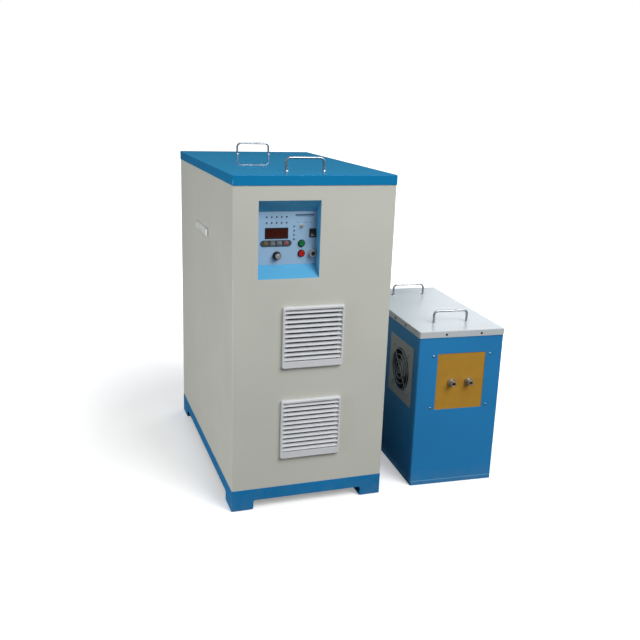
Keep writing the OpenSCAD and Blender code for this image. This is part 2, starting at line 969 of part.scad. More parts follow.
module control_panel() at_panel() color("#6584a1") {
    difference() {
        upright(panel_t)
            square([pan_w + 2 * pan_lip, panel_flat_h + 2 * pan_lip], center = true);
        translate([0, -over, 0]) upright(panel_t + 2 * over) panel_holes();
        lamp_places() round_hole(lamp_d);
        button_places() round_hole(button_body_d);
        translate([knob_x, 0, knob_z]) round_hole(pot_bush_d);
        translate([toggle_x, 0, toggle_z]) round_hole(toggle_bush_d);
        translate([socket_x, 0, socket_z]) round_hole(socket_tail_d);
    }
}

module round_hole(d) {
    translate([0, -over, 0]) upright(panel_t + 2 * over) circle(d = d + 2 * seat_gap);
}

// Openings of the panel that aren't round
module panel_holes() {
    translate([display_x, display_z])
        square([display_w + 2 * seat_gap, display_h + 2 * seat_gap], center = true);
    translate([strip_x, strip_z]) strip_tail(seat_gap);
    translate([rocker_x, rocker_z]) square([
        rocker_frame_w - rocker_wall + 2 * seat_gap, rocker_frame_h - rocker_wall + 2 * seat_gap
    ], center = true);
}

// Part of the key strip that sits in the panel's opening
module strip_tail(grow) {
    pill(key_strip_l - key_strip_h / 2 + 2 * grow, (key_strip_h + key_h) / 2 + 2 * grow);
}

module display_window() at_panel() translate([display_x, -display_proud, display_z])
    color("#3a1414", 0.8) {
        upright(display_proud)
            rounded_rect(display_w + 2 * display_r, display_h + 2 * display_r, display_r);
        translate([0, display_proud, 0]) upright(panel_t)
            square([display_w, display_h], center = true);
    }

module key_strip() at_panel() translate([strip_x, -strip_proud, strip_z]) color("#5f6d7c") {
    difference() {
        union() {
            upright(strip_proud) pill(key_strip_l, key_strip_h);
            upright(strip_proud + panel_t) strip_tail(0);
        }
        translate([-strip_x, -over, -strip_z]) key_places()
            upright(strip_proud + panel_t + 2 * over)
                rounded_rect(key_w + 2 * air, key_h + 2 * air, key_r + air);
    }
}

module panel_key(i) {
    translate([
        strip_x + (i - (key_count - 1) / 2) * key_pitch,
        -strip_proud - key_proud, strip_z
    ]) upright(key_proud + strip_proud + panel_t) rounded_rect(key_w, key_h, key_r);
}

module key_1() at_panel() color("#8d7440") panel_key(0);

module key_2() at_panel() color("#b9c3cb") panel_key(1);

module key_3() at_panel() color("#b9c3cb") panel_key(2);

module key_4() at_panel() color("#a8485a") panel_key(3);

// Set knob: skirt, ribbed grip and metal cap on the potentiometer's shaft
module power_knob() at_panel() translate([knob_x, -knob_lift, knob_z]) color("#17181a") {
    mirror([0, 1, 0]) along_y() {
        cylinder(h = knob_skirt_h, d = knob_d);
        cylinder(h = knob_h, d = knob_waist_d);
        for (i = [0 : knob_ribs - 1]) rotate(i * 360 / knob_ribs)
            translate([knob_waist_d / 2, 0, 0]) cylinder(h = knob_h - knob_cap_h, d = knob_rib_d);
        cylinder(h = knob_h + knob_cap_h / 2, d = knob_cap_d);
    }
    along_y() cylinder(h = knob_lift + panel_t + board_gap, d = pot_shaft_d);
}

module push_button() {
    mirror([0, 1, 0]) along_y() {
        translate([0, 0, button_proud - button_cap_h]) cylinder(h = button_cap_h, d = button_d);
        translate([0, 0, button_proud - button_cap_h - button_stem_l])
            cylinder(h = button_stem_l + over, d = button_stem_d);
    }
}

module start_button() at_panel() translate([button_x, 0, start_z]) color("#0b7a45") push_button();

module stop_button() at_panel() translate([button_x, 0, stop_z]) color("#b01515") push_button();

// Ring, threaded body with its stem guide, and the nut behind the panel
module button_ring() {
    bore = button_d + 2 * air;
    guide_y = button_cap_h - button_proud + button_travel + air;
    difference() {
        mirror([0, 1, 0]) along_y() cylinder(h = button_ring_t, d = button_ring_d);
        translate([0, -button_ring_t - over, 0]) along_y()
            cylinder(h = button_ring_t + 2 * over, d = bore);
    }
    difference() {
        union() {
            along_y() cylinder(h = button_body_l, d = button_body_d);
            translate([0, panel_t, 0]) along_y() hexagon(button_nut_t, button_nut_d);
        }
        translate([0, -over, 0]) along_y() cylinder(h = guide_y + over, d = bore);
        translate([0, guide_y - over, 0]) along_y()
            cylinder(h = button_guide_t + 2 * over, d = button_stem_d + 2 * running);
        translate([0, guide_y + button_guide_t, 0]) along_y()
            cylinder(h = button_body_l - guide_y - 2 * button_guide_t, d = bore);
    }
}

module button_rings() at_panel() color("#202225") button_places() button_ring();

// Rocker drawn in its middle position, with the pivot on x
module rocker_paddle() {
    half = rocker_frame_h / 2 - rocker_wall - slip;
    width = rocker_frame_w - 2 * rocker_wall - 2 * air;
    translate([-width / 2, 0, 0]) sideways(width) polygon([
        [rocker_pivot - over, -half / 2], [rocker_pivot - over, half / 2],
        [-over, half], [-rocker_end, half], [-rocker_top, 0], [-rocker_end, -half], [-over, -half]
    ]);
    translate([-width / 2 - rocker_pin_in, 0, 0])
        along_x() cylinder(h = width + 2 * rocker_pin_in, d = rocker_pin_d);
}

module power_rocker() at_panel() translate([rocker_x, 0, rocker_z])
    rotate([-rocker_throw / 2, 0, 0]) color("#101113") rocker_paddle();

module rocker_frame() at_panel() translate([rocker_x, 0, rocker_z]) color("#16171a") {
    hole_w = rocker_frame_w - 2 * rocker_wall;
    hole_h = rocker_frame_h - 2 * rocker_wall;
    pin_l = hole_w - 2 * air + 2 * rocker_pin_in + 2 * air;
    difference() {
        union() {
            translate([0, -rocker_frame_t, 0]) upright(rocker_frame_t)
                rounded_rect(rocker_frame_w, rocker_frame_h, rocker_frame_t);
            upright(rocker_body_l)
                square([rocker_frame_w - rocker_wall, rocker_frame_h - rocker_wall], center = true);
        }
        translate([0, -rocker_frame_t - over, 0])
            upright(rocker_frame_t + rocker_body_l - rocker_floor + over)
                square([hole_w, hole_h], center = true);
        translate([-pin_l / 2, 0, 0]) along_x()
            cylinder(h = pin_l, d = rocker_pin_d + 2 * running);
    }
}

// Toggle lever drawn upright, with its ball and cross pin on the pivot
module mode_toggle() at_panel() translate([toggle_x, 0, toggle_z])
    rotate([toggle_throw / 2, 0, 0]) color("#c8ccd0") mirror([0, 1, 0]) along_y() {
        sphere(d = toggle_ball_d);
        cylinder(h = toggle_lever_l, d = toggle_lever_d);
        translate([0, 0, toggle_lever_l]) sphere(d = toggle_tip_d);
        translate([-toggle_pin_l / 2, 0, 0])
            along_x() cylinder(h = toggle_pin_l, d = toggle_pin_d);
    }

module toggle_bush() at_panel() translate([toggle_x, 0, toggle_z]) color("#b8bcc0") {
    difference() {
        union() {
            translate([0, -toggle_bush_l, 0]) along_y()
                cylinder(h = toggle_bush_l + panel_t, d = toggle_bush_d);
            translate([0, -toggle_nut_t, 0]) along_y() hexagon(toggle_nut_t, toggle_nut_d);
            translate([0, panel_t, 0]) upright(toggle_box_l)
                square([toggle_box_w, toggle_box_h], center = true);
        }
        translate([0, -toggle_bush_l - over, 0]) along_y()
            cylinder(h = toggle_bush_l + over + toggle_ball_d, d = toggle_bore_d);
        translate([-toggle_pin_l / 2 - air, 0, 0]) along_x()
            cylinder(h = toggle_pin_l + 2 * air, d = toggle_pin_d + 2 * running);
    }
}

module remote_socket() at_panel() translate([socket_x, 0, socket_z]) color("#8d9196") {
    difference() {
        union() {
            translate([0, -socket_flange_t, 0]) along_y()
                cylinder(h = socket_flange_t, d = socket_flange_d);
            translate([0, -socket_l, 0]) along_y() cylinder(h = socket_l, d = socket_d);
            along_y() cylinder(h = socket_tail_l, d = socket_tail_d);
        }
        translate([0, -socket_l - over, 0]) along_y()
            cylinder(h = socket_l - socket_flange_t + over, d = socket_bore);
    }
    difference() {
        translate([0, socket_face_in - socket_l, 0]) along_y()
            cylinder(h = socket_l - socket_flange_t - socket_face_in + over / 2, d = socket_bore);
        for (i = [0 : socket_pins - 1]) rotate([0, i * 360 / socket_pins, 0])
            translate([socket_pin_ring_d / 2, -socket_l, 0]) along_y()
                cylinder(h = socket_l - socket_flange_t - over, d = socket_pin_d);
    }
}

module indicator_lamps() at_panel() color("#51718f") lamp_places() {
    translate([0, -lamp_proud, 0]) along_y()
        cylinder(h = lamp_proud + panel_t + lamp_tail, d = lamp_d);
    translate([0, -lamp_proud, 0]) sphere(d = lamp_dome_d);
}

module control_board() at_panel() translate([board_x, panel_t, 0]) {
    board_y = board_gap;
    color("#1f5a3a") {
        translate([0, board_y, 0]) upright(board_t) difference() {
            square([board_w, board_h], center = true);
            translate([knob_x - board_x, knob_z]) circle(d = pot_shaft_d + 2 * air);
        }
        for (x = [-1, 1], z = [-1, 1])
            translate([x * (board_w / 2 - post_inset), 0, z * (board_h / 2 - post_inset)])
                along_y() cylinder(h = board_y, d = post_d);
    }
    color("#15110f") translate([display_x - board_x, digit_in, display_z])
        upright(board_y - digit_in) square([digit_w, digit_h], center = true);
    color("#222426") translate([-board_x, key_travel + air, 0]) key_places()
        along_y() cylinder(h = board_y - key_travel - air, d = tact_d);
    color("#34506e") translate([knob_x - board_x, 0, knob_z]) difference() {
        union() {
            translate([0, -panel_t - pot_nut_t, 0]) along_y()
                cylinder(h = board_y + panel_t + pot_nut_t, d = pot_bush_d);
            translate([0, -panel_t - pot_nut_t, 0]) along_y() hexagon(pot_nut_t, pot_nut_d);
            translate([0, board_y - pot_h, 0]) along_y() cylinder(h = pot_h, d = pot_d);
        }
        translate([0, -panel_t - pot_nut_t - over, 0]) along_y()
            cylinder(
                h = board_y + panel_t + pot_nut_t + 2 * over, d = pot_shaft_d + 2 * running
            );
    }
    color("#1a1a1c") translate([0, board_y + board_t, 0]) {
        for (x = [-1, 0, 1]) translate([x * (chip_w + chip_h), 0, chip_w])
            upright(chip_t) square([chip_w, chip_h], center = true);
        for (z = [-1, 1]) translate([board_w / 2 - plug_w, 0, z * plug_h])
            upright(plug_t) square([plug_w, plug_h], center = true);
    }
}

// Equipment inside the cabinet, all on one upright plate that stands on the tray

module equipment_plate() at_cabinet() translate([0, plate_y, plinth_h + 2 * sheet])
    color("#a5a8a6") {
        plate_w = 2 * (inner_x - sheet - slip);
        translate([-plate_w / 2, 0, 0]) {
            cube([plate_w, plate_t, plate_h]);
            cube([plate_w, plate_foot, plate_t]);
            translate([0, 0, plate_shelf_z]) cube([plate_w, plate_shelf_d, plate_t]);
        }
        for (x = [-1, 1]) translate([x * (plate_w - plate_t) / 2, 0, plate_shelf_z]) {
            translate([-plate_t / 2, 0, -plate_foot]) cube([plate_t, plate_shelf_d, plate_foot]);
        }
    }

module cooling_plate() at_cabinet() translate([0, plate_y - cold_t, plinth_h + 2 * sheet + cold_z])
    color("#b9bcbf") {
        translate([0, 0, cold_h / 2]) upright(cold_t) square([cold_w, cold_h], center = true);
        for (x = [-1, 1]) translate([x * cold_pipe_pitch / 2, cold_t / 2, cold_h - over])
            cylinder(h = cold_pipe_l + over, d = cold_pipe_d);
    }

module power_modules() at_cabinet()
    translate([0, plate_y - cold_t - module_t, plinth_h + 2 * sheet + cold_z + module_gap / 2])
        color("#24262a") for (x = [-1, 1], i = [0 : module_rows - 1])
            translate([x * cold_w / 4, 0, module_h / 2 + i * (module_h + module_gap)]) {
                translate([0, module_t - module_base_t, 0]) upright(module_base_t)
                    square([module_w, module_h], center = true);
                upright(module_t - module_base_t)
                    square([module_w - 2 * module_base_t, module_h - module_base_t], center = true);
                for (s = [-1, 0, 1]) translate([s * module_w / 4, -module_stud_h, 0]) along_y()
                    cylinder(h = module_stud_h, d = module_stud_d);
            }

module capacitor_bank() at_cabinet()
    translate([0, plate_y + plate_t, plinth_h + 2 * sheet + plate_shelf_z + plate_t])
        for (i = [0 : can_columns - 1], j = [0 : can_rows - 1])
            translate([
                (i - (can_columns - 1) / 2) * can_pitch,
                can_pitch / 2 + j * can_pitch, 0
            ]) color("#20466e") {
                cylinder(h = can_h, d = can_d);
                translate([0, 0, can_h - can_band_t])
                    cylinder(h = 2 * can_band_t, d = can_d - 2 * can_band_t);
                for (s = [-1, 1]) translate([s * can_stud_pitch / 2, 0, can_h])
                    cylinder(h = can_stud_h, d = can_stud_d);
            }

module choke() at_cabinet() translate([0, choke_y, plinth_h + 2 * sheet]) color("#5a3a22") {
    coil_h = choke_h - 2 * choke_limb;
    for (y = [-1, 1]) translate([0, y * (choke_d / 2), 0])
        linear_extrude(choke_foot_t) square([choke_w, choke_foot], center = true);
    translate([0, -choke_limb / 2, choke_foot_t]) difference() {
        translate([-choke_w / 2, 0, 0]) cube([choke_w, choke_limb, choke_h]);
        for (x = [-1, 1])
            translate([x * (choke_limb + choke_coil) / 2 - choke_coil / 2, -over, choke_limb])
                cube([choke_coil, choke_limb + 2 * over, coil_h]);
    }
    translate([0, 0, choke_foot_t + choke_limb]) difference() {
        linear_extrude(coil_h)
            square([choke_limb + 2 * choke_coil - 2 * air, choke_d - choke_foot], center = true);
        translate([0, 0, -over]) linear_extrude(coil_h + 2 * over)
            square([choke_limb, choke_limb], center = true);
    }
    for (y = [-1, 1]) translate([0, y * (choke_d - choke_foot) / 2, 0])
        translate([-choke_limb / 2, -choke_foot_t, 0])
            cube([choke_limb, 2 * choke_foot_t, choke_foot_t + choke_limb]);
}

module contactor() at_cabinet() translate([0, plate_y + plate_t, plinth_h + 2 * sheet + contactor_z])
    color("#d8d5cc") difference() {
        union() {
            upright(contactor_t - contactor_step) square([contactor_w, contactor_h], center = true);
            upright(contactor_t)
                square([contactor_w - contactor_step, contactor_h - 2 * contactor_step], center = true);
        }
        for (i = [0 : contactor_poles - 1], z = [-1, 1])
            translate([
                (i - (contactor_poles - 1) / 2) * 2 * contactor_step,
                contactor_t - 2 * contactor_step, z * (contactor_h / 2 - contactor_slot)
            ]) upright(contactor_step + over) square(contactor_slot, center = true);
    }

// Rear fittings of the cabinet

// Hose nipple: hexagon on z = 0, ribs, plain end
module hose_nipple() {
    step = (nipple_l - nipple_rib) / nipple_ribs;
    difference() {
        union() {
            hexagon(nipple_hex_t, nipple_hex_d);
            cylinder(h = nipple_hex_t + nipple_l, d = nipple_tip_d);
            for (i = [0 : nipple_ribs - 1])
                translate([0, 0, nipple_hex_t + i * step]) cylinder(h = nipple_rib, d = nipple_d);
        }
        translate([0, 0, -over]) cylinder(h = nipple_hex_t + nipple_l + 2 * over, d = nipple_bore);
    }
}

// Two nipples on a rear sheet whose face is y = 0, with the block behind it
module nipple_pair(pitch, t) {
    for (x = [-1, 1]) translate([x * pitch / 2, 0, 0]) {
        along_y() hose_nipple();
        translate([0, -t, 0]) along_y() tube(t, nipple_d, nipple_bore);
    }
    translate([0, -t - manifold_t, 0]) difference() {
        upright(manifold_t) square([manifold_w, manifold_h], center = true);
        for (x = [-1, 1]) translate([x * pitch / 2, manifold_t / 2, 0]) along_y()
            cylinder(h = manifold_t, d = nipple_bore);
    }
}

module water_fittings() color("#b08a3c") {
    at_cabinet() translate([water_x, cab_d, water_z]) nipple_pair(water_pitch, sheet);
    at_station() translate([0, station_d, station_water_z])
        nipple_pair(station_water_pitch, station_sheet);
}

module gland() {
    difference() {
        union() {
            hexagon(gland_nut_t, gland_nut_d);
            cylinder(h = gland_dome, d = gland_d);
            translate([0, 0, -sheet - gland_nut_t]) cylinder(h = sheet + gland_nut_t, d = gland_d);
            translate([0, 0, -sheet - gland_nut_t]) hexagon(gland_nut_t, gland_nut_d);
        }
        translate([0, 0, -sheet - gland_nut_t - over])
            cylinder(h = gland_dome + gland_nut_t + sheet + 2 * over, d = gland_bore);
    }
}

module cable_glands() at_cabinet() color("#26282b")
    for (x = [0, 1]) translate([gland_x + x * gland_pitch, cab_d, gland_z]) along_y() gland();

// Threaded copper stud with a pad and a nut, on a board whose face is y = 0
module link_stud() {
    along_y() {
        cylinder(h = stud_pad_t, d = stud_pad_d);
        translate([0, 0, stud_pad_t]) hexagon(stud_nut_t, stud_nut_d);
        translate([0, 0, -link_board_t - stud_pad_t]) {
            cylinder(h = link_board_t + stud_pad_t + stud_l, d = stud_d);
            cylinder(h = stud_pad_t, d = stud_pad_d);
        }
    }
}

// Insulating board with two studs, behind a sheet whose inner face is y = 0
module link_board(w, h, pitch) {
    difference() {
        translate([0, -link_board_t, 0]) upright(link_board_t) square([w, h], center = true);
        for (x = [-1, 1]) translate([x * pitch / 2, -link_board_t, 0])
            screw_hole(link_board_t, stud_d);
    }
    for (x = [-1, 1]) translate([x * pitch / 2, 0, 0]) link_stud();
}

module link_terminals() color("#b5673b") {
    at_cabinet() translate([0, cab_d - sheet, 0]) {
        translate([0, 0, link_z]) link_board(link_board_w, link_board_h, link_pitch);
        translate([earth_x, 0, earth_z]) along_y() {
            translate([0, 0, -2 * stud_pad_t]) cylinder(h = earth_l, d = earth_d);
            translate([0, 0, sheet]) hexagon(stud_pad_t, 2 * earth_d);
            translate([0, 0, -stud_pad_t]) hexagon(stud_pad_t, 2 * earth_d);
        }
    }
    at_station() translate([0, station_d - station_sheet, station_link_z])
        link_board(station_link_w, station_link_h, station_link_pitch);
}

// Heat station

module station_outline(grow) {
    translate([0, station_d / 2])
        rounded_rect(station_w + 2 * grow, station_d + 2 * grow, station_r + grow);
}

module station_base() at_station() color("#1d5f90") {
    difference() {
        linear_extrude(station_pan_h) station_outline(0);
        translate([0, 0, station_sheet]) linear_extrude(station_pan_h)
            station_outline(-station_sheet);
    }
}

// Front or rear sheet of the station, standing on the rim of the base pan
module station_end() {
    top = station_top_z - station_pan_h;
    translate([0, 0, station_pan_h]) linear_extrude(top) difference() {
        station_outline(0);
        translate([0, station_d / 2])
            rounded_rect(
                station_w - 2 * station_sheet, station_d - 2 * station_sheet,
                station_r - station_sheet
            );
        translate([-station_w, wrap]) square([2 * station_w, station_d]);
    }
    translate([0, 0, station_top_z - station_sheet]) linear_extrude(station_sheet)
        intersection() {
            station_outline(0);
            translate([station_sheet - station_w / 2, 0])
                square([station_w - 2 * station_sheet, station_flange]);
        }
}

module board_screw_places() {
    for (x = [-1, 1], z = [-1, 1])
        translate([window_x + x * board_screw_x, 0, window_z + z * board_screw_z]) children();
}

module station_front() at_station() color("#226697") {
    difference() {
        station_end();
        translate([0, -over, 0]) upright(station_sheet + 2 * over)
            translate([window_x, window_z]) square([window_w, window_h], center = true);
        board_screw_places() screw_hole(station_sheet, board_screw_d);
        lid_screw_places() screw_hole(station_lid_over + 2 * station_sheet, lid_screw_d);
    }
}

module station_rear() at_station() color("#226697") {
    difference() {
        translate([0, station_d, 0]) mirror([0, 1, 0]) station_end();
        translate([0, station_d - station_sheet - over, 0]) upright(station_sheet + 2 * over) {
            translate([0, station_link_z]) square([
                station_link_w - 2 * station_link_edge, station_link_h - 2 * station_link_edge
            ], center = true);
            for (x = [-1, 1]) translate([x * station_water_pitch / 2, station_water_z])
                circle(d = nipple_d + 2 * air);
        }
    }
}

module station_side() {
    translate([-station_w / 2, wrap, station_pan_h])
        cube([station_sheet, station_d - 2 * wrap, station_top_z - station_pan_h]);
    translate([-station_w / 2, station_flange, station_top_z - station_sheet])
        cube([station_flange, station_d - 2 * station_flange, station_sheet]);
    for (y = [station_r, station_d - wrap - tongue_land])
        translate([station_sheet - station_w / 2, y, station_pan_h + slip])
            cube([
                station_sheet, wrap + tongue_land - station_r,
                station_top_z - station_pan_h - station_sheet - 2 * slip
            ]);
}

module station_left() at_station() color("#21486a") {
    difference() {
        station_side();
        lid_screw_places() screw_hole(station_lid_over + 2 * station_sheet, lid_screw_d);
        translate([-station_w / 2 - over, fan_y, fan_z]) along_x()
            cylinder(h = 2 * station_sheet + over, r = fan_hole_r);
    }
}

module station_right() at_station() color("#216a9a") {
    difference() {
        mirror([1, 0, 0]) station_side();
        lid_screw_places() screw_hole(station_lid_over + 2 * station_sheet, lid_screw_d);
    }
}

module station_lid() at_station() color("#c1c9cc") {
    difference() {
        translate([0, 0, station_lid_z]) linear_extrude(station_lid_h)
            station_outline(station_lid_over + station_lid_sheet);
        translate([0, 0, station_lid_z - over])
            linear_extrude(station_lid_h - station_lid_sheet + over)
                station_outline(station_lid_over);
        station_handle_places() handle_holes();
        lid_screw_places() screw_hole(station_lid_sheet, lid_screw_d);
    }
}

// Screws through the lid's skirt, each with +y pointing into the box
module lid_screw_places() {
    out = station_lid_over + station_lid_sheet;
    for (x = lid_screw_front_x) translate([x, -out, station_h - lid_screw_drop]) children();
    for (s = [-1, 1], y = lid_screw_side_y)
        translate([s * (station_w / 2 + out), y, station_h - lid_screw_drop])
            rotate(s * 90) children();
}

module screw_hole(t, shank_d) {
    translate([0, -over, 0]) along_y() cylinder(h = t + 2 * over, d = shank_d + 2 * air);
}

module station_handle_places() {
    for (y = [station_handle_front, station_d - station_handle_rear])
        translate([0, y, station_h]) children();
}

module station_handles() at_station() color("silver")
    station_handle_places() d_handle(station_lid_sheet);

// Board behind the window, and the two hollow terminals that pass through it
module terminal_board() at_station() color("#9d7831") {
    difference() {
        translate([window_x, station_sheet, window_z]) upright(station_board_t) difference() {
            square([window_w + 2 * board_margin, window_h + 2 * board_margin], center = true);
            for (x = [-1, 1]) translate([x * terminal_pitch / 2, -terminal_drop])
                circle(d = terminal_d + 2 * air);
        }
        board_screw_places() screw_hole(station_sheet + station_board_t, board_screw_d);
    }
}

module output_terminals() at_station() color("#a9a49a") {
    for (x = [-1, 1])
        translate([
            window_x + x * terminal_pitch / 2, station_sheet - terminal_hex_t - terminal_l,
            window_z - terminal_drop
        ]) difference() {
            union() {
                along_y() cylinder(
                    h = terminal_l + terminal_hex_t + station_board_t + terminal_root_l,
                    d = terminal_d
                );
                translate([0, terminal_l, 0]) along_y() hexagon(terminal_hex_t, terminal_hex_d);
                translate([0, terminal_l + terminal_hex_t + station_board_t, 0]) along_y()
                    hexagon(terminal_hex_t, terminal_hex_d);
            }
            translate([0, -over, 0]) along_y()
                cylinder(
                    h = terminal_l + terminal_hex_t + station_board_t + terminal_root_l - over,
                    d = terminal_bore
                );
        }
}

// Domed screws: four for the board, and those round the lid's skirt
module station_screws() at_station() color("#3c3f42") {
    board_screw_places() screw(screw_head_d, board_screw_d, station_sheet + station_board_t);
    lid_screw_places() screw(
        lid_screw_head_d, lid_screw_d, station_lid_sheet + station_lid_over + 2 * station_sheet
    );
}

// Head in front of y = 0, shank behind it
module screw(head_d, shank_d, shank_l) {
    translate([0, -screw_head_t, 0]) along_y() cylinder(h = screw_head_t, d = head_d);
    along_y() cylinder(h = shank_l + screw_tail, d = shank_d);
}

// Station fan

module fan_plate() at_fan_wall() color("#8a8f8f") {
    translate([-fan_plate_t, 0, 0]) sideways(fan_plate_t) difference() {
        rounded_rect(fan_plate_size, fan_plate_size, station_r);
        circle(fan_hole_r);
    }
}

// Wire guard: rings in front, crossed spokes welded behind them, an eye at each end
module fan_guard() at_fan_wall() color("silver") {
    ring_x = -fan_plate_t - guard_spoke_wire - guard_wire / 2 + slip;
    spoke_x = -fan_plate_t - guard_spoke_wire / 2;
    last_r = guard_ring_first_r + guard_rings * guard_ring_step_r - guard_ring_step_r;
    eye_r = fan_size / diagonal - fan_screw_inset * diagonal;
    translate([ring_x, 0, 0]) along_x() for (i = [0 : guard_rings - 1])
        rotate_extrude() translate([guard_ring_first_r + i * guard_ring_step_r, 0])
            circle(d = guard_wire);
    for (i = [0 : guard_spokes - 1]) rotate([guard_turn + i * 360 / guard_spokes, 0, 0]) {
        translate([spoke_x, 0, 0]) cylinder(h = eye_r, d = guard_spoke_wire);
        translate([-fan_plate_t - guard_spoke_wire, 0, eye_r])
            along_x() cylinder(h = guard_spoke_wire, d = guard_eye_d);
    }
}

module at_station_fan() at_fan_wall() translate([station_sheet, 0, 0]) along_x() children();

module station_fan_housing() at_station_fan() color("#2b2d30") fan_frame();

module station_fan_rotor() at_station_fan() color("#1c1d20") fan_rotor();

// Equipment inside the station

module output_transformer() at_station() translate([window_x, trafo_y, station_sheet])
    color("#3a3d40") {
        base_z = window_z - terminal_drop - trafo_h / 2 - station_sheet;
        for (x = [-1, 1]) translate([x * (trafo_w - stand_w) / 2 - stand_w / 2, 0, 0])
            cube([stand_w, trafo_d, base_z]);
        translate([-trafo_w / 2, 0, base_z]) difference() {
            cube([trafo_w, trafo_d, trafo_h]);
            for (x = [0, 1]) translate([
                trafo_leg + x * (trafo_w - trafo_leg - trafo_coil - trafo_leg), -over, trafo_leg
            ]) cube([trafo_coil, trafo_d + 2 * over, trafo_h - 2 * trafo_leg]);
        }
    }

module resonance_capacitors() at_station() translate([0, tank_y, station_sheet]) color("#c9b98a") {
    for (i = [0 : tank_count - 1]) translate([-tank_w / 2, i * (tank_d + tank_gap), 0]) {
        cube([tank_w, tank_d, tank_h]);
        for (x = [-1, 1]) translate([tank_w / 2 + x * tank_w / 4, tank_d / 2, tank_h])
            cylinder(h = tank_stud_h, d = tank_stud_d);
    }
}

plinth();
floor_tray();
front_panel();
left_side_panel();
right_side_panel();
rear_panel();
top_lid();
lid_handles();
side_grip_left();
side_grip_right();
grille_upper();
grille_lower();
filter_mats();
fan_housings();
fan_rotor_upper();
fan_rotor_lower();
control_recess();
control_panel();
display_window();
key_strip();
key_1();
key_2();
key_3();
key_4();
power_knob();
start_button();
stop_button();
button_rings();
power_rocker();
rocker_frame();
mode_toggle();
toggle_bush();
remote_socket();
indicator_lamps();
control_board();
equipment_plate();
cooling_plate();
power_modules();
capacitor_bank();
choke();
contactor();
water_fittings();
cable_glands();
link_terminals();
station_base();
station_front();
station_left();
station_right();
station_rear();
station_lid();
station_handles();
terminal_board();
output_terminals();
station_screws();
fan_plate();
fan_guard();
station_fan_housing();
station_fan_rotor();
output_transformer();
resonance_capacitors();
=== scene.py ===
import json
import math

import bmesh
import bpy
from mathutils import Matrix, Vector

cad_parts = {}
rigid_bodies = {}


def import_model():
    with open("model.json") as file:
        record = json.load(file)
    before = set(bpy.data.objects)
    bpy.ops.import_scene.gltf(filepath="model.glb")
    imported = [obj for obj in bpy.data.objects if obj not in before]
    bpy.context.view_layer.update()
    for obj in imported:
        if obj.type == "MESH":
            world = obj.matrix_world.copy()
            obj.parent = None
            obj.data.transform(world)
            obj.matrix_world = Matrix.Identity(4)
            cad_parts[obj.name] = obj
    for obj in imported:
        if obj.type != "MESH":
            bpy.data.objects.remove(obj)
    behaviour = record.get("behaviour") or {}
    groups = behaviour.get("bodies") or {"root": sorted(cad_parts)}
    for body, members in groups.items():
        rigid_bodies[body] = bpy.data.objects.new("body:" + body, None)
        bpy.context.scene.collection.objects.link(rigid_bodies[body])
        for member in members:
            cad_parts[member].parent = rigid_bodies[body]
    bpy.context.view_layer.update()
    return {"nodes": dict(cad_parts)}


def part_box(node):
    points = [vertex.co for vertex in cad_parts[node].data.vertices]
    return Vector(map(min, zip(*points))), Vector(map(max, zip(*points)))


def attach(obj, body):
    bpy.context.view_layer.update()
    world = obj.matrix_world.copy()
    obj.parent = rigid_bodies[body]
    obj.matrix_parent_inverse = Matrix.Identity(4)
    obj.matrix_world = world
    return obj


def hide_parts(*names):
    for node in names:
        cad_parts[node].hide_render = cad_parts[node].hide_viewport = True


for leftover in list(bpy.data.objects):
    bpy.data.objects.remove(leftover)
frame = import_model()


# Plinth: folded 3 mm steel on four feet, with a flat-topped arch in each side.
# Stove-enamelled in a strong blue. It carries the cabinet, and a little floor dust lies on it,
# thickest near the floor.


def ink(code):
    """Linear colour of an sRGB hex code."""
    parts = [int(code[i : i + 2], 16) / 255 for i in (1, 3, 5)]
    return [p / 12.92 if p <= 0.04045 else ((p + 0.055) / 1.055) ** 2.4 for p in parts] + [1.0]


def add(tree, kind, sockets=None, **settings):
    """Adds one node; each socket gets a value, or a link where it is given another socket."""
    node = tree.nodes.new(kind)
    for key, value in settings.items():
        setattr(node, key, value)
    for key, value in (sockets or {}).items():
        if isinstance(value, bpy.types.NodeSocket):
            tree.links.new(value, node.inputs[key])
        else:
            node.inputs[key].default_value = value
    return node


def finish_base(name, **sockets):
    """A new material with its shader's plain sockets set, and the place of each point."""
    material = bpy.data.materials.new(name)
    material.use_nodes = True
    tree = material.node_tree
    shader = tree.nodes["Principled BSDF"]
    for key, value in sockets.items():
        shader.inputs[key.replace("_", " ")].default_value = value
    return material, tree, shader, add(tree, "ShaderNodeTexCoord").outputs["Object"]


def tones(tree, factor, first, second):
    """Blend of two colours, each a hex code or a socket, by a factor that varies."""
    first, second = (ink(one) if isinstance(one, str) else one for one in (first, second))
    blend = add(tree, "ShaderNodeMix", {0: factor, 6: first, 7: second}, data_type="RGBA")
    return blend.outputs[2]


def reckon(tree, operation, *values):
    """One step of arithmetic on patterns and numbers."""
    step = add(tree, "ShaderNodeMath", dict(enumerate(values)), operation=operation)
    return step.outputs[0]


def spread(tree, value, low, high, start=0.3, end=0.7):
    """Turns a pattern's middle range into the range from low to high."""
    ranged = add(
        tree,
        "ShaderNodeMapRange",
        {"Value": value, "From Min": start, "From Max": end, "To Min": low, "To Max": high},
    )
    return ranged.outputs["Result"]


def noise(tree, place, grain_mm, detail=2.0):
    """Soft pattern whose patches are about grain_mm across."""
    made = add(
        tree, "ShaderNodeTexNoise", {"Vector": place, "Scale": 1000 / grain_mm, "Detail": detail}
    )
    return made.outputs["Fac"]


def relief(tree, shader, height, depth_mm, strength=1.0):
    """Gives the shader's surface a bump of that depth."""
    bump = add(
        tree,
        "ShaderNodeBump",
        {"Height": height, "Strength": strength, "Distance": depth_mm / 1000},
    )
    tree.links.new(bump.outputs["Normal"], shader.inputs["Normal"])


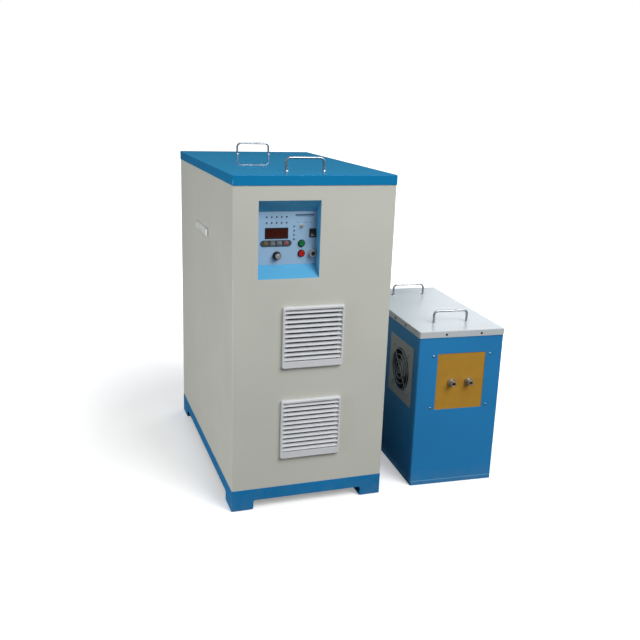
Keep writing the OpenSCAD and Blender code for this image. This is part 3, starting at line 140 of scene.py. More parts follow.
def paint(tree, shader, colour, rough):
    """Gives the shader a colour and a roughness that vary over the surface."""
    tree.links.new(colour, shader.inputs["Base Color"])
    tree.links.new(rough, shader.inputs["Roughness"])


def enamel(name, light, dark, rough, ior, dust_top=0.0, peel=0.1, seam_highlight=None):
    """Stove enamel: even colour and a slight orange peel, drawn 6 mm coarse so that it shows.

    Dust lies up to dust_top metres. A dusty piece may also get a painted highlight:
    a pale band of the given colour at the height of its seam.
    """
    material, tree, shader, place = finish_base(name, IOR=ior)
    colour = tones(tree, spread(tree, noise(tree, place, 260), 0, 1), light, dark)
    if dust_top:
        height = add(tree, "ShaderNodeSeparateXYZ", {"Vector": place}).outputs["Z"]
        low = spread(tree, height, 0.22, 0, 0.0, dust_top)
        patch = spread(tree, noise(tree, place, 30, 5), 0.2, 1, 0.35, 0.75)
        colour = tones(tree, reckon(tree, "MULTIPLY", low, patch), colour, "#8f8c84")
    # Painted highlight: a pale band at the seam's height stands in for the light the seam's edge
    # catches.
    if seam_highlight:
        seam_level, seam_half = 0.0153, 0.0013
        level = reckon(tree, "COMPARE", height, seam_level, seam_half)
        colour = tones(tree, reckon(tree, "MULTIPLY", level, 0.5), colour, seam_highlight)
    handled = spread(tree, noise(tree, place, 90, 3), rough * 0.94, rough * 1.08)
    paint(tree, shader, colour, handled)
    relief(tree, shader, noise(tree, place, 6, 1), 0.05, peel)
    return material


def moved(x=0, y=0, z=0):
    """A shift by x, y and z."""
    return Matrix.Translation((x, y, z))


def swung(degrees, axis):
    """A turn about an axis."""
    return Matrix.Rotation(math.radians(degrees), 4, axis)


def soften(bm, parts, offset, steps=4, kind="EDGES"):
    """Rounds edges or corners of a drawn shape, or chamfers them in one step."""
    bmesh.ops.bevel(
        bm, geom=parts, offset=offset, segments=steps, profile=0.5, affect=kind, material=-1
    )


def rim(bm, wide, high, radius=0.0, at=(0, 0), steps=6):
    """Draws one closed outline round a middle: a rectangle whose corners may be rounded."""
    place = moved(*at) @ Matrix.Diagonal((wide, high, 1, 1))
    corners = bmesh.ops.create_grid(bm, x_segments=1, y_segments=1, size=0.5, matrix=place)
    if radius:
        soften(bm, corners["verts"], radius, steps, "VERTICES")
    bmesh.ops.delete(bm, geom=bm.faces[:], context="FACES_ONLY")


def only(parts, kind):
    """Vertices, edges or faces among what an operator returned."""
    return [part for part in parts if isinstance(part, kind)]


def lift(bm, height):
    """Moves all that is drawn so far up or down."""
    bmesh.ops.translate(bm, verts=bm.verts[:], vec=(0, 0, height))


def thicken(bm, thick):
    """Draws every face up by a thickness."""
    made = bmesh.ops.extrude_face_region(bm, geom=bm.faces[:])["geom"]
    bmesh.ops.translate(bm, verts=only(made, bmesh.types.BMVert), vec=(0, 0, thick))


def plate(bm, thick, bridged=False):
    """Fills the outlines, leaves inner ones open, and raises the plate to its thickness."""
    if bridged:
        bmesh.ops.bridge_loops(bm, edges=bm.edges[:])
    else:
        bmesh.ops.triangle_fill(bm, use_beauty=True, edges=bm.edges[:], normal=(0, 0, 1))
    thicken(bm, thick)


def join_in(bm, other, turn=None):
    """Adds a finished sub-shape to a piece, turned or moved by a matrix."""
    if turn is not None:
        bmesh.ops.transform(other, matrix=turn, verts=other.verts[:])
    carried = bpy.data.meshes.new("carried")
    other.to_mesh(carried)
    other.free()
    bm.from_mesh(carried)
    bpy.data.meshes.remove(carried)


def stand(name, bm):
    """Makes the drawn shape an object of the scene."""
    shape = bpy.data.meshes.new(name)
    bm.to_mesh(shape)
    bm.free()
    made = bpy.data.objects.new(name, shape)
    bpy.context.scene.collection.objects.link(made)
    return made


def settle(
    name, bm, place, finish, nodes=(), body="root", edge=0.3, wall=0.0, steps=2, joined=0.002
):
    """Makes the drawn shape a piece in its place, with its edges broken, on its CAD body."""
    bmesh.ops.remove_doubles(bm, verts=bm.verts[:], dist=joined)
    bmesh.ops.transform(bm, matrix=place, verts=bm.verts[:])
    bmesh.ops.recalc_face_normals(bm, faces=bm.faces[:])
    crease = math.radians(35)
    if not edge:
        for line in bm.edges:
            line.smooth = not (line.is_boundary or line.calc_face_angle(0) > crease)
    piece = stand(name, bm)
    piece.data.shade_smooth()
    piece.data.materials.append(finish)
    if wall:
        folded = piece.modifiers.new("wall", "SOLIDIFY")
        folded.thickness = wall / 1000
        folded.offset = -1
        folded.use_even_offset = True
    if edge:
        broken = piece.modifiers.new("broken edges", "BEVEL")
        broken.width = edge / 1000
        broken.segments = steps
        broken.limit_method = "ANGLE"
        broken.angle_limit = crease
        broken.use_clamp_overlap = False
    if edge or wall:
        piece.modifiers.new("even shading", "WEIGHTED_NORMAL").keep_sharp = True
    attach(piece, body)
    if nodes:
        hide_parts(*nodes)
    return piece


def cut_away(piece, cutter):
    """Takes the cutter's space out of a piece, as its wall stands now, and removes the cutter."""
    shaped = [m for m in piece.modifiers if m.type in ("BEVEL", "WEIGHTED_NORMAL")]
    for kept in shaped:
        kept.show_viewport = kept.show_render = False
    tool = piece.modifiers.new("cut", "BOOLEAN")
    tool.solver = "EXACT"
    tool.object = cutter
    bpy.context.view_layer.update()
    carved = bpy.data.meshes.new_from_object(
        piece.evaluated_get(bpy.context.evaluated_depsgraph_get())
    )
    for done in [m for m in piece.modifiers if m not in shaped]:
        piece.modifiers.remove(done)
    for kept in shaped:
        kept.show_viewport = kept.show_render = True
    piece.data = carved
    bpy.data.objects.remove(cutter)


cabinet_low, cabinet_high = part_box("rear_panel")
front_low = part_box("front_panel")[0]
cabinet = moved((cabinet_low.x + cabinet_high.x) / 2, front_low.y) @ Matrix.Scale(0.001, 4)
# A plate drawn in x and z stands up facing the operator; one drawn in y and z faces sideways.
upright = swung(90, "X")
sideways = Matrix(((0, 0, 1, 0), (1, 0, 0, 0), (0, 1, 0, 0), (0, 0, 0, 1)))

cabinet_wide, cabinet_deep = 528, 932
plinth_high = 74
plinth_blue = enamel("stove_enamel_plinth", "#0a76b0", "#0a6ea5", 0.34, 1.3, dust_top=0.1)
bm = bmesh.new()
rim(bm, cabinet_wide + 2, cabinet_deep + 2, 5)
# The shell hangs clear of the floor, on the foot pads.
floor_gap = 0.9
lift(bm, floor_gap)
lower_edges = bm.edges[:]
raised = bmesh.ops.extrude_edge_only(bm, edges=lower_edges)["geom"]
bmesh.ops.translate(
    bm, verts=only(raised, bmesh.types.BMVert), vec=(0, 0, plinth_high - floor_gap)
)
upper_edges = only(raised, bmesh.types.BMEdge)
made = bmesh.ops.create_grid(
    bm, x_segments=1, y_segments=1, size=0.5,
    matrix=moved(0, 0, plinth_high) @ Matrix.Diagonal((484, 888, 1, 1)),
)
ledge = list({edge for vert in made["verts"] for edge in vert.link_edges})
inner_face = list({face for vert in made["verts"] for face in vert.link_faces})
bmesh.ops.delete(bm, geom=inner_face, context="FACES_ONLY")
bmesh.ops.triangle_fill(bm, use_beauty=True, edges=upper_edges + ledge, normal=(0, 0, 1))
bmesh.ops.translate(bm, verts=bm.verts[:], vec=(0, cabinet_deep / 2, 0))
plinth = settle(
    "plinth_shell", bm, cabinet, plinth_blue, ["plinth"], edge=0.9, wall=3, steps=3
)


def arch_cutter(wide, long, turn):
    """Space under one arch: round at its top corners, flared at the floor."""
    bm = bmesh.new()
    half, high, flare = wide / 2, 33, 20
    outline = [
        (-half - flare, -2), (-half - flare, floor_gap), (-half, floor_gap), (-half, high),
        (half, high), (half, floor_gap), (half + flare, floor_gap), (half + flare, -2),
    ]
    corners = [bm.verts.new((x, y, 0)) for x, y in outline]
    bm.faces.new(corners)
    soften(bm, corners[2:6], 7, 6, "VERTICES")
    thicken(bm, long)
    lift(bm, -long / 2)
    place = cabinet @ moved(0, cabinet_deep / 2) @ turn
    bmesh.ops.transform(bm, matrix=place, verts=bm.verts[:])
    bmesh.ops.recalc_face_normals(bm, faces=bm.faces[:])
    return stand("arch", bm)


cut_away(plinth, arch_cutter(cabinet_wide + 2 - 150, 1100, upright))
cut_away(plinth, arch_cutter(cabinet_deep + 2 - 180, 700, sideways))
bm = bmesh.new()
for x in (-1, 1):
    for y in (-1, 1):
        pad = bmesh.new()
        rim(pad, 72, 87, 3)
        plate(pad, 3)
        join_in(bm, pad, moved(x * 226, cabinet_deep / 2 + y * 420.5))
settle("plinth_feet", bm, cabinet, plinth_blue)


# Cabinet sheets: cold-rolled steel 2 mm thick, cut, folded and stove-enamelled in a
# warm light grey. Front and rear wrap round the corners, the sides butt against the
# wraps, and narrow flanges stiffen the tops and feet.
sheet_low, sheet_high = plinth_high, 1102.5
sheet_mid, sheet_tall = (sheet_low + sheet_high) / 2, sheet_high - sheet_low
cabinet_grey = enamel("stove_enamel_body", "#c3c3ba", "#bebfb6", 0.42, 1.32)
pan_wide, pan_high, pan_x, pan_z = 199, 243, -85, 905.5
grille_levels = {"grille_upper": 592, "grille_lower": 278}
grip_level, link_level, earth_level = 870, 400, 130


def ring(bm, diameter, at=(0, 0), steps=40):
    """Draws one round outline."""
    bmesh.ops.create_circle(bm, segments=steps, radius=diameter / 2, matrix=moved(*at))


def edges_where(bm, test):
    """Open edges whose two ends both pass a test."""
    return [e for e in bm.edges if e.is_boundary and all(test(v.co) for v in e.verts)]


def drawn_out(bm, edges, vec):
    """Folds a flange: extrudes open edges by a vector and returns the new ones."""
    made = bmesh.ops.extrude_edge_only(bm, edges=edges)["geom"]
    bmesh.ops.translate(bm, verts=only(made, bmesh.types.BMVert), vec=vec)
    return only(made, bmesh.types.BMEdge)


def fold_sheet(bm, half, radius, wrap, flange, levels):
    """Fills the drawn sheet, folds its sides back round a corner and its ends into flanges."""
    bmesh.ops.triangle_fill(bm, use_beauty=True, edges=bm.edges[:], normal=(0, 0, 1))
    flat = half - radius
    for side in (-1, 1):
        edges = edges_where(bm, lambda co: abs(co.x - side * flat) < 0.01)
        if radius:
            turned = bmesh.ops.spin(
                bm, geom=edges, cent=(side * flat, 0, -radius), axis=(0, 1, 0),
                dvec=(0, 0, 0), angle=side * math.radians(90), steps=5, use_duplicate=False,
            )
            edges = only(turned["geom_last"], bmesh.types.BMEdge)
        if wrap:
            drawn_out(bm, edges, (0, 0, radius - wrap))
    for level in levels:
        edges = edges_where(
            bm, lambda co: abs(co.y - level) < 0.01 and abs(co.z) < 0.01 and abs(co.x) < half
        )
        drawn_out(bm, edges, (0, 0, -flange))


bm = bmesh.new()
rim(bm, cabinet_wide - 8, sheet_tall, at=(0, sheet_mid))
rim(bm, pan_wide, pan_high, at=(pan_x, pan_z))
for z in grille_levels.values():
    rim(bm, 177, 177, at=(0, z))
fold_sheet(bm, cabinet_wide / 2, 4, 10, 18, (sheet_low, sheet_high))
settle(
    "front_sheet", bm, cabinet @ upright, cabinet_grey, ["front_panel"],
    edge=0.5, wall=2,
)

bm = bmesh.new()
rim(bm, cabinet_wide - 8, sheet_tall, at=(0, sheet_mid))
for row in range(12):
    for x in (-75, 75):
        rim(bm, 100, 7, 3.1, at=(x, 760 + 20 * row), steps=4)
for x in (-150, -90):
    ring(bm, 30.2, at=(-x, 180))
for x in (115, 185):
    ring(bm, 16.6, at=(-x, 180), steps=24)
ring(bm, 8.6, at=(0, earth_level), steps=20)
rim(bm, 170, 90, at=(0, link_level))
fold_sheet(bm, cabinet_wide / 2, 4, 10, 18, (sheet_low, sheet_high))
turned_back = moved(0, cabinet_deep) @ swung(180, "Z")
settle(
    "rear_sheet", bm, cabinet @ turned_back @ upright, cabinet_grey,
    ["rear_panel"], edge=0, wall=2,
)

for side, node in ((-1, "left_side_panel"), (1, "right_side_panel")):
    bm = bmesh.new()
    rim(bm, cabinet_deep - 20.4, sheet_tall, at=(0, sheet_mid))
    rim(bm, 182, 18, at=(0, grip_level))
    fold_sheet(bm, cabinet_deep, 0, 0, 16, (sheet_low, sheet_high))
    turn = moved(side * cabinet_wide / 2, cabinet_deep / 2) @ swung(side * 90, "Z")
    settle(
        node.replace("panel", "sheet"), bm, cabinet @ turn @ upright, cabinet_grey,
        [node], edge=0.7, wall=2,
    )


# Lid: one folded steel tray turned over, with welded and ground corners, stove-enamelled
# in a glossy blue. It lifts straight off by two chromed D handles, which are bolted
# through it from below.


def folded_tray(wide, deep, radius, middle, tall, bend, low):
    """A tray turned over: a flat top, and a skirt folded down from it all round."""
    bm = bmesh.new()
    rim(bm, wide, deep, radius, at=(0, middle))
    top_edges = drawn_out(bm, bm.edges[:], (0, 0, tall))
    bmesh.ops.holes_fill(bm, edges=top_edges, sides=0)
    soften(bm, top_edges, bend)
    lift(bm, low)
    return bm


lid_low, lid_tall = 1073, 31
lid_blue = enamel("gloss_enamel_lid", "#167aae", "#1575a8", 0.045, 1.16, peel=0.012)
bm = folded_tray(532, 936, 6, cabinet_deep / 2, lid_tall, 2.6, lid_low)
settle(
    "lid_shell", bm, cabinet, lid_blue, ["top_lid"], body="lid", edge=0, wall=1.5
)


def plated(name, colour, rough, cloud_mm=30.0):
    """Bright plating: mirror metal whose polish varies a little, as hands leave it."""
    material, tree, shader, place = finish_base(name, Metallic=1.0)
    polish = spread(tree, noise(tree, place, cloud_mm, 4), rough * 0.7, rough * 1.5)
    tarnish = spread(tree, noise(tree, place, cloud_mm * 2, 3), 0, 1, 0.4, 0.8)
    red, green, blue = (int(colour[i : i + 2], 16) for i in (1, 3, 5))
    duller = "#%02x%02x%02x" % (int(red * 0.9), int(green * 0.9), int(blue * 0.89))
    paint(tree, shader, tones(tree, tarnish, colour, duller), polish)
    return material


def close_up(bm):
    """Fills every open outline with one face."""
    bmesh.ops.holes_fill(bm, edges=[e for e in bm.edges if e.is_boundary], sides=0)


def bent_rod(bm, thick, centres, high, bend):
    """A round rod bent into a D: two legs, two quarter bends and a straight grip."""
    rod = bmesh.new()
    ring(rod, thick, at=(centres / 2, 0), steps=20)
    leg = high - thick / 2 - bend
    edges = drawn_out(rod, rod.edges[:], (0, 0, leg))
    for side in (1, -1):
        turned = bmesh.ops.spin(
            rod, geom=edges, cent=(side * (centres / 2 - bend), 0, leg), axis=(0, -1, 0),
            dvec=(0, 0, 0), angle=math.radians(90), steps=8, use_duplicate=False,
        )
        edges = only(turned["geom_last"], bmesh.types.BMEdge)
        reach = (2 * bend - centres, 0, 0) if side == 1 else (0, 0, -leg)
        edges = drawn_out(rod, edges, reach)
    close_up(rod)
    join_in(bm, rod)


def stub(bm, wide, tall, at=(0, 0, 0), steps=32, top=None):
    """A short round of given diameter standing on a point; top is its upper diameter."""
    cone = bmesh.new()
    bmesh.ops.create_cone(
        cone, cap_ends=True, segments=steps, radius1=wide / 2,
        radius2=(wide if top is None else top) / 2, depth=tall, matrix=moved(0, 0, tall / 2),
    )
    join_in(bm, cone, moved(*at))


# Width across the flats of a hexagon over its width across the corners.
hex_ratio = 0.866


def d_handles(name, place, tops, nodes, body, finish):
    """Two D handles with their collars below and nuts under the sheet."""
    legs_apart = 126
    bm = bmesh.new()
    for y, z in tops:
        one = bmesh.new()
        bent_rod(one, 8, legs_apart, 45, 14)
        for x in (-legs_apart / 2, legs_apart / 2):
            stub(one, 15, 2, (x, 0, 0), top=13.4)
            stub(one, 13 / hex_ratio, 5, (x, 0, -6.5), steps=6)
        join_in(bm, one, moved(0, y, z))
    settle(name, bm, place, finish, nodes, body=body, edge=0)


chrome = plated("chrome_plated_steel", "#a9adb0", 0.3)
lid_top = lid_low + lid_tall
d_handles(
    "lid_handle_rods", cabinet, [(128, lid_top), (804, lid_top)],
    ["lid_handles"], "lid", chrome,
)


# Side grips: long moulded cups in off-white ABS, snapped into a slot in each side
# sheet. The face stands out as a bevelled bar, and the fingers go up behind its
# lower edge into the cup.


def moulding(name, light, dark, rough, grain_mm=1.2, ior=1.46):
    """Moulded plastic: faint flow marks and a spark-eroded grain, drawn a millimetre coarse."""
    material, tree, shader, place = finish_base(name, IOR=ior)
    flow = spread(tree, noise(tree, place, 35, 3), 0, 1)
    worn = spread(tree, noise(tree, place, 9, 3), rough * 0.85, rough * 1.15)
    paint(tree, shader, tones(tree, flow, light, dark), worn)
    relief(tree, shader, noise(tree, place, grain_mm, 1), 0.03, 0.3)
    return material


grip_white = moulding("abs_grip", "#d8d8d3", "#cfcfc9", 0.38)
for side, node in ((-1, "side_grip_left"), (1, "side_grip_right")):
    bm = bmesh.new()
    hood = bmesh.new()
    bmesh.ops.create_cube(hood, size=1, matrix=moved(-5) @ Matrix.Diagonal((10, 190, 26, 1)))
    outer = [e for e in hood.edges if all(v.co.x < -9 for v in e.verts)]
    soften(hood, outer, 5, 1)
    hidden = [f for f in hood.faces if all(v.co.x > -0.01 for v in f.verts)]
    under = [f for f in hood.faces if f.normal.z < -0.9]
    bmesh.ops.delete(hood, geom=hidden + under, context="FACES_ONLY")
    join_in(bm, hood)
    cup = bmesh.new()
    bmesh.ops.create_cube(cup, size=1, matrix=moved(12) @ Matrix.Diagonal((24, 181, 17, 1)))
    mouth = [f for f in cup.faces if f.normal.x < -0.9]
    bmesh.ops.delete(cup, geom=mouth, context="FACES_ONLY")
    join_in(bm, cup)
    turn = moved(side * cabinet_wide / 2, cabinet_deep / 2, grip_level)
    if side == 1:
        turn = turn @ swung(180, "Z")
    settle(
        node.replace("side_grip", "grip_moulding"), bm, cabinet @ turn, grip_white,
        [node], edge=0.6, wall=1.6, steps=3,
    )


# Filter grilles: 204 mm louvred ABS frames, snapped into the front sheet over a
# fleece mat and a fan. Eleven slats slope down to round lips, and a plain band below
# them is the finger edge that opens the grille.
grille_white = moulding("abs_grille", "#d3d4d7", "#cacccf", 0.42)
slats, slat_low, slat_wide = 11, -78, 193.2
slat_pitch = 171 / slats
for node, z in grille_levels.items():
    bm = bmesh.new()
    face = bmesh.new()
    rim(face, 204, 204, 5)
    rim(face, 193, 171, 1, at=(0, 7.5))
    plate(face, 12, bridged=True)
    outer = [
        e for e in face.edges
        if all(v.co.z > 11 and max(abs(v.co.x), abs(v.co.y)) > 96.5 for v in e.verts)
    ]
    soften(face, outer, 3.6)
    join_in(bm, face, upright)
    collar = bmesh.new()
    rim(collar, 176, 176, 6)
    rim(collar, 171, 171, 3.5)
    plate(collar, -20)
    join_in(bm, collar, upright)
    for i in range(slats):
        slat = bmesh.new()
        rim(slat, 13.6, 2.9, 1.4, steps=5)
        plate(slat, slat_wide)
        lean = swung(30, "Z")
        at = moved(-slat_wide / 2, -5.3, slat_low + 7.2 + i * slat_pitch)
        join_in(bm, slat, at @ sideways @ lean)
    settle(
        node + "_moulding", bm, cabinet @ moved(0, 0, z), grille_white,
        [node], edge=0.35,
    )


# Filter mats: coarse grey fleece of crimped polyester, slightly furry. Its greys are drawn
# dark, partly its own grey and partly painted shade for the ground between the slats.


def dress(finish, *nodes):
    """Gives CAD shapes that are shown as they are their real finish."""
    for node in nodes:
        frame["nodes"][node].data.materials[0] = finish


fleece_painted_shade, tree, shader, place = finish_base("polyester_fleece_painted_shade", Roughness=0.95)
fibres = add(
    tree, "ShaderNodeTexVoronoi", {"Vector": place, "Scale": 420.0}, feature="DISTANCE_TO_EDGE"
).outputs["Distance"]
# Painted shade: both greys are darker than the fleece alone, so the gaps between slats read as
# shaded.
tree.links.new(
    tones(tree, spread(tree, fibres, 0, 1, 0.0, 0.3), "#5d6266", "#34383c"),
    shader.inputs["Base Color"],
)
relief(tree, shader, fibres, 1.0)
shader.inputs["Sheen Weight"].default_value = 0.2
dress(fleece_painted_shade, "filter_mats")


# Fans: 162 mm square axial fans in glass-filled nylon, each with a seven-bladed rotor
# whose hub is a cup over the motor. The one in the station shows through its guard.
fan_black = moulding("glass_filled_nylon", "#383b3e", "#2f3235", 0.5)
rotor_black = moulding("rotor_nylon", "#70797e", "#656d71", 0.4)
dress(fan_black, "fan_housings", "station_fan_housing")
dress(rotor_black, "fan_rotor_upper", "fan_rotor_lower", "station_fan_rotor")


# Control pan: a shallow steel tray welded behind the front sheet, enamelled in a
# lighter blue. Its top and bottom slope back to the instrument panel, its sides go
# straight in.
pan_blue = enamel("stove_enamel_pan", "#55a3cd", "#4f9ec8", 0.36, 1.25)
bm = bmesh.new()
rim(bm, pan_wide, pan_high)
edges = drawn_out(bm, bm.edges[:], (0, 0, -39.9))
for vert in {v for e in edges for v in e.verts}:
    vert.co.y *= (pan_high - 76) / pan_high
brim = bmesh.ops.extrude_edge_only(bm, edges=edges)["geom"]
for vert in only(brim, bmesh.types.BMVert):
    vert.co.x += math.copysign(11, vert.co.x)
    vert.co.y += math.copysign(11, vert.co.y)
bmesh.ops.recalc_face_normals(bm, faces=bm.faces[:])
pan_place = cabinet @ moved(pan_x, 0, pan_z) @ moved(0, 0.4) @ upright
settle(
    "control_pan_tray", bm, pan_place, pan_blue, ["control_recess"], edge=0.5,
    wall=-1.4,
)


# Instrument panel: a 2 mm aluminium plate under a satin polyester film, pale
# blue-grey, with a plain printed bar and hairlines. Lamps, switches and the display
# all pass through it.
panel = cabinet @ moved(pan_x, 40, pan_z)


def film(name, colour, second, rough):
    """Printed polyester film: a satin skin with a fine even tooth."""
    material, tree, shader, place = finish_base(name, IOR=1.4)
    ink_cloud = spread(tree, noise(tree, place, 60), 0, 1)
    tooth = spread(tree, noise(tree, place, 3, 3), rough * 0.9, rough * 1.1)
    paint(tree, shader, tones(tree, ink_cloud, colour, second), tooth)
    relief(tree, shader, noise(tree, place, 0.8, 1), 0.01, 0.3)
    return material


panel_film = film("panel_film", "#96b6d2", "#91b1cd", 0.4)
panel_print = film("panel_print", "#46607c", "#405974", 0.45)
lamp_spots = [(-63 + 16 * i, z) for i in range(5) for z in (66.5, 48.5)]
lamp_spots += [(26, 36.5 - 13.5 * i) for i in range(4)]
start_spot, stop_spot, toggle_spot = (51, -17.5), (51, -49.5), (51, 38.5)
display_spot, strip_spot, knob_spot = (-31, 15.5), (-32.5, -16), (-29.5, -54.5)
rocker_spot, socket_spot = (86.5, 14.5), (86, -49.5)
bm = bmesh.new()
rim(bm, pan_wide - 0.2, 190, 1)
for spot in lamp_spots:
    ring(bm, 5.2, at=spot, steps=20)
for spot in (start_spot, stop_spot):
    ring(bm, 22.2, at=spot)
ring(bm, 10.2, at=knob_spot)
ring(bm, 9.2, at=toggle_spot)
ring(bm, 17.2, at=socket_spot)
rim(bm, 72.2, 32.2, at=display_spot)
rim(bm, 91.2, 16.7, 8.3, at=strip_spot)
rim(bm, 18.7, 25.2, at=rocker_spot)
plate(bm, -2)
settle(
    "instrument_panel", bm, panel @ upright, panel_film, ["control_panel"],
    edge=0.2,
)
bm = bmesh.new()
for wide, high, x, z in (
    (62, 5.2, 60, 71.5), (56, 0.7, 59, 66), (9, 1.4, 62, 48), (9, 1.4, 80, 48),
    (5, 1.2, 38, 48), (0.8, 34, 96, -58),
):
    mark = bmesh.new()
    rim(mark, wide, high, 0.3, at=(x, z), steps=2)
    plate(mark, 0.12)
    join_in(bm, mark)
for i in range(11):
    mark = bmesh.new()
    rim(mark, 0.7, 2.4, at=(0, 17.2))
    plate(mark, 0.12)
    join_in(bm, mark, moved(*knob_spot) @ swung(150 - 30 * i, "Z"))
settle("panel_marks", bm, panel @ upright, panel_print, edge=0)


# Display: a smoked red acrylic filter in a black moulded bezel, clipped into the panel.
# Four seven-segment digits stay unlit behind it and only just show.


def on_panel(spot, proud=0):
    """A place on the instrument panel, facing the operator."""
    return panel @ moved(spot[0], -proud, spot[1]) @ upright


panel_black = moulding("abs_black", "#1d1e21", "#151618", 0.34)
bm = bmesh.new()
rim(bm, 75, 35, 1.5)
rim(bm, 67, 27, 1)
plate(bm, 1, bridged=True)
shown = on_panel(display_spot)
settle("display_bezel", bm, shown, panel_black, ["display_window"], edge=0.3)
acrylic_red = film("smoked_acrylic", "#44170f", "#34110b", 0.16)
bm = bmesh.new()
rim(bm, 67.4, 27.4, 1)
plate(bm, 0.5)
settle("display_filter", bm, shown, acrylic_red, edge=0)
unlit = film("unlit_segments", "#48190f", "#3a140d", 0.2)
bm = bmesh.new()
for i in range(4):
    for x, z, upright_bar in (
        (0, 9, 0), (0, 0, 0), (0, -9, 0), (-4.6, 4.5, 1), (4.6, 4.5, 1), (-4.6, -4.5, 1),
        (4.6, -4.5, 1),
    ):
        bar = bmesh.new()
        rim(bar, 1.5 if upright_bar else 7.2, 7.2 if upright_bar else 1.5, 0.6, steps=1)
        plate(bar, 0.1)
        join_in(bm, bar, moved(-23 + 15.3 * i + x + z * 0.1, z, 0.5))
    stub(bm, 1.6, 0.1, (-15.4 + 15.3 * i, -9, 0.5), steps=12)
settle("display_digits", bm, shown, unlit, edge=0)


# Key strip: a moulded bed with round ends, and four snap keys whose tops are dished
# for the fingertip. Each key moves by itself on a switch of the board behind.
key_pitch = 22
key_bed = moulding("abs_key_bed", "#39434c", "#323b43", 0.45)
bm = bmesh.new()
for wide, high, radius, thick in ((101, 20, 9.98, 1.6), (91, 16.5, 8.23, -2)):
    bed = bmesh.new()
    rim(bed, wide, high, radius, steps=10)
    for i in range(4):
        rim(bed, 15.6, 13.6, 2.3, at=(key_pitch * (i - 1.5), 0), steps=4)
    plate(bed, thick)
    join_in(bm, bed)
settle(
    "key_strip_bed", bm, on_panel(strip_spot), key_bed, ["key_strip"], edge=0.35
)
for i, (number, slot, light, dark) in enumerate((
    ("one", "key_ochre", "#75694c", "#6b6044"),
    ("two", "key_grey", "#7d878d", "#757f85"),
    ("three", "key_grey", "#7d878d", "#757f85"),
    ("four", "key_red", "#98606a", "#8c5660"),
)):
    bm = bmesh.new()
    rim(bm, 15, 13, 2, steps=5)
    face = bmesh.ops.holes_fill(bm, edges=bm.edges[:], sides=0)["faces"]
    top = only(bmesh.ops.extrude_face_region(bm, geom=face)["geom"], bmesh.types.BMFace)
    bmesh.ops.translate(bm, verts=top[0].verts[:], vec=(0, 0, 4.8))
    bmesh.ops.inset_region(bm, faces=top, thickness=1.6, use_even_offset=True)
    bmesh.ops.inset_region(bm, faces=top, thickness=2.0, depth=-0.5, use_even_offset=True)
    lift(bm, -2)
    settle(
        "key_cap_" + number, bm,
        on_panel((strip_spot[0] + key_pitch * (i - 1.5), strip_spot[1])),
        moulding("abs_key_" + number, light, dark, 0.4), ["key_%d" % (i + 1)],
        body="key_" + number, edge=0.5, steps=3,
    )


# Set knob: a phenolic skirt and ribbed grip with an aluminium cap let into its face,
# turned bright so that fine rings show. A white line on the skirt points at the scale.


def ribbed(bm, inner, outer, ribs):
    """Draws a round outline that stands out in evenly spaced ribs."""
    ring(bm, inner, steps=ribs * 4)
    for spot, vert in enumerate(bm.verts[:]):
        if spot % 4 < 2:
            vert.co *= outer / inner


bm = bmesh.new()
stub(bm, 26.5, 1.6, steps=48)
stub(bm, 26.5, 2.4, (0, 0, 1.6), steps=48, top=24)
grip = bmesh.new()
ribbed(grip, 21.4, 22.8, 18)
edges = drawn_out(grip, grip.edges[:], (0, 0, 11))
upper = list({v for e in edges for v in e.verts})
bmesh.ops.scale(grip, verts=upper, vec=(0.93, 0.93, 1))
close_up(grip)
join_in(bm, grip, moved(0, 0, 3.6))
knob_at = on_panel(knob_spot, 1.5)
settle(
    "knob_grip", bm, knob_at, panel_black, ["power_knob"], body="knob", edge=0.25
)
turned_aluminium = plated("turned_aluminium", "#d2d5d7", 0.36, 8)
bm = bmesh.new()
ring(bm, 17, steps=40)
lift(bm, 14.2)
edges = drawn_out(bm, bm.edges[:], (0, 0, 1.7))
face = bmesh.ops.holes_fill(bm, edges=edges, sides=0)["faces"]
for step_in, depth in ((1.2, 0.3), (1.6, -0.3), (0.3, 0.15), (1.5, -0.12), (0.3, 0.12)):
    bmesh.ops.inset_region(bm, faces=face, thickness=step_in, depth=depth, use_even_offset=True)
close_up(bm)
settle("knob_cap", bm, knob_at, turned_aluminium, body="knob", edge=0.2)
mark_white = film("mark_white", "#e6e7e4", "#dcddda", 0.45)
bm = bmesh.new()
rim(bm, 1.1, 3.4, 0.2, at=(0, 10.9), steps=2)
plate(bm, 0.15)
lift(bm, 3.5)
settle("knob_pointer", bm, knob_at, mark_white, body="knob", edge=0)


# Start and stop buttons: 22 mm class heads with moulded caps, dished on top, that spring
# out of black rings. The rings screw down on threaded sleeves behind the panel.
for name, spot, light, dark in (
    ("start", start_spot, "#0b7040", "#096638"), ("stop", stop_spot, "#ad1412", "#a0110f"),
):
    bm = bmesh.new()
    ring(bm, 18.5, steps=40)
    drawn_out(bm, bm.edges[:], (0, 0, 11))
    close_up(bm)
    top = [f for f in bm.faces if all(v.co.z > 10 for v in f.verts)]
    bmesh.ops.inset_region(bm, faces=top, thickness=2.6, use_even_offset=True)
    bmesh.ops.inset_region(bm, faces=top, thickness=2.4, depth=-0.7, use_even_offset=True)
    lift(bm, -4)
    settle(
        name + "_cap", bm, on_panel(spot),
        moulding("polycarbonate_" + name, light, dark, 0.3, ior=1.4),
        [name + "_button"], body=name,
        edge=1.1, steps=4,
    )
bm = bmesh.new()
for spot in (start_spot, stop_spot):
    for outer, thick in ((23.5, 3), (22, -12)):
        collar = bmesh.new()
        ring(collar, outer)
        ring(collar, 19.1)
        plate(collar, thick, bridged=True)
        join_in(bm, collar, moved(*spot))
settle(
    "button_collars", bm, panel @ upright, panel_black, ["button_rings"], edge=0.5
)


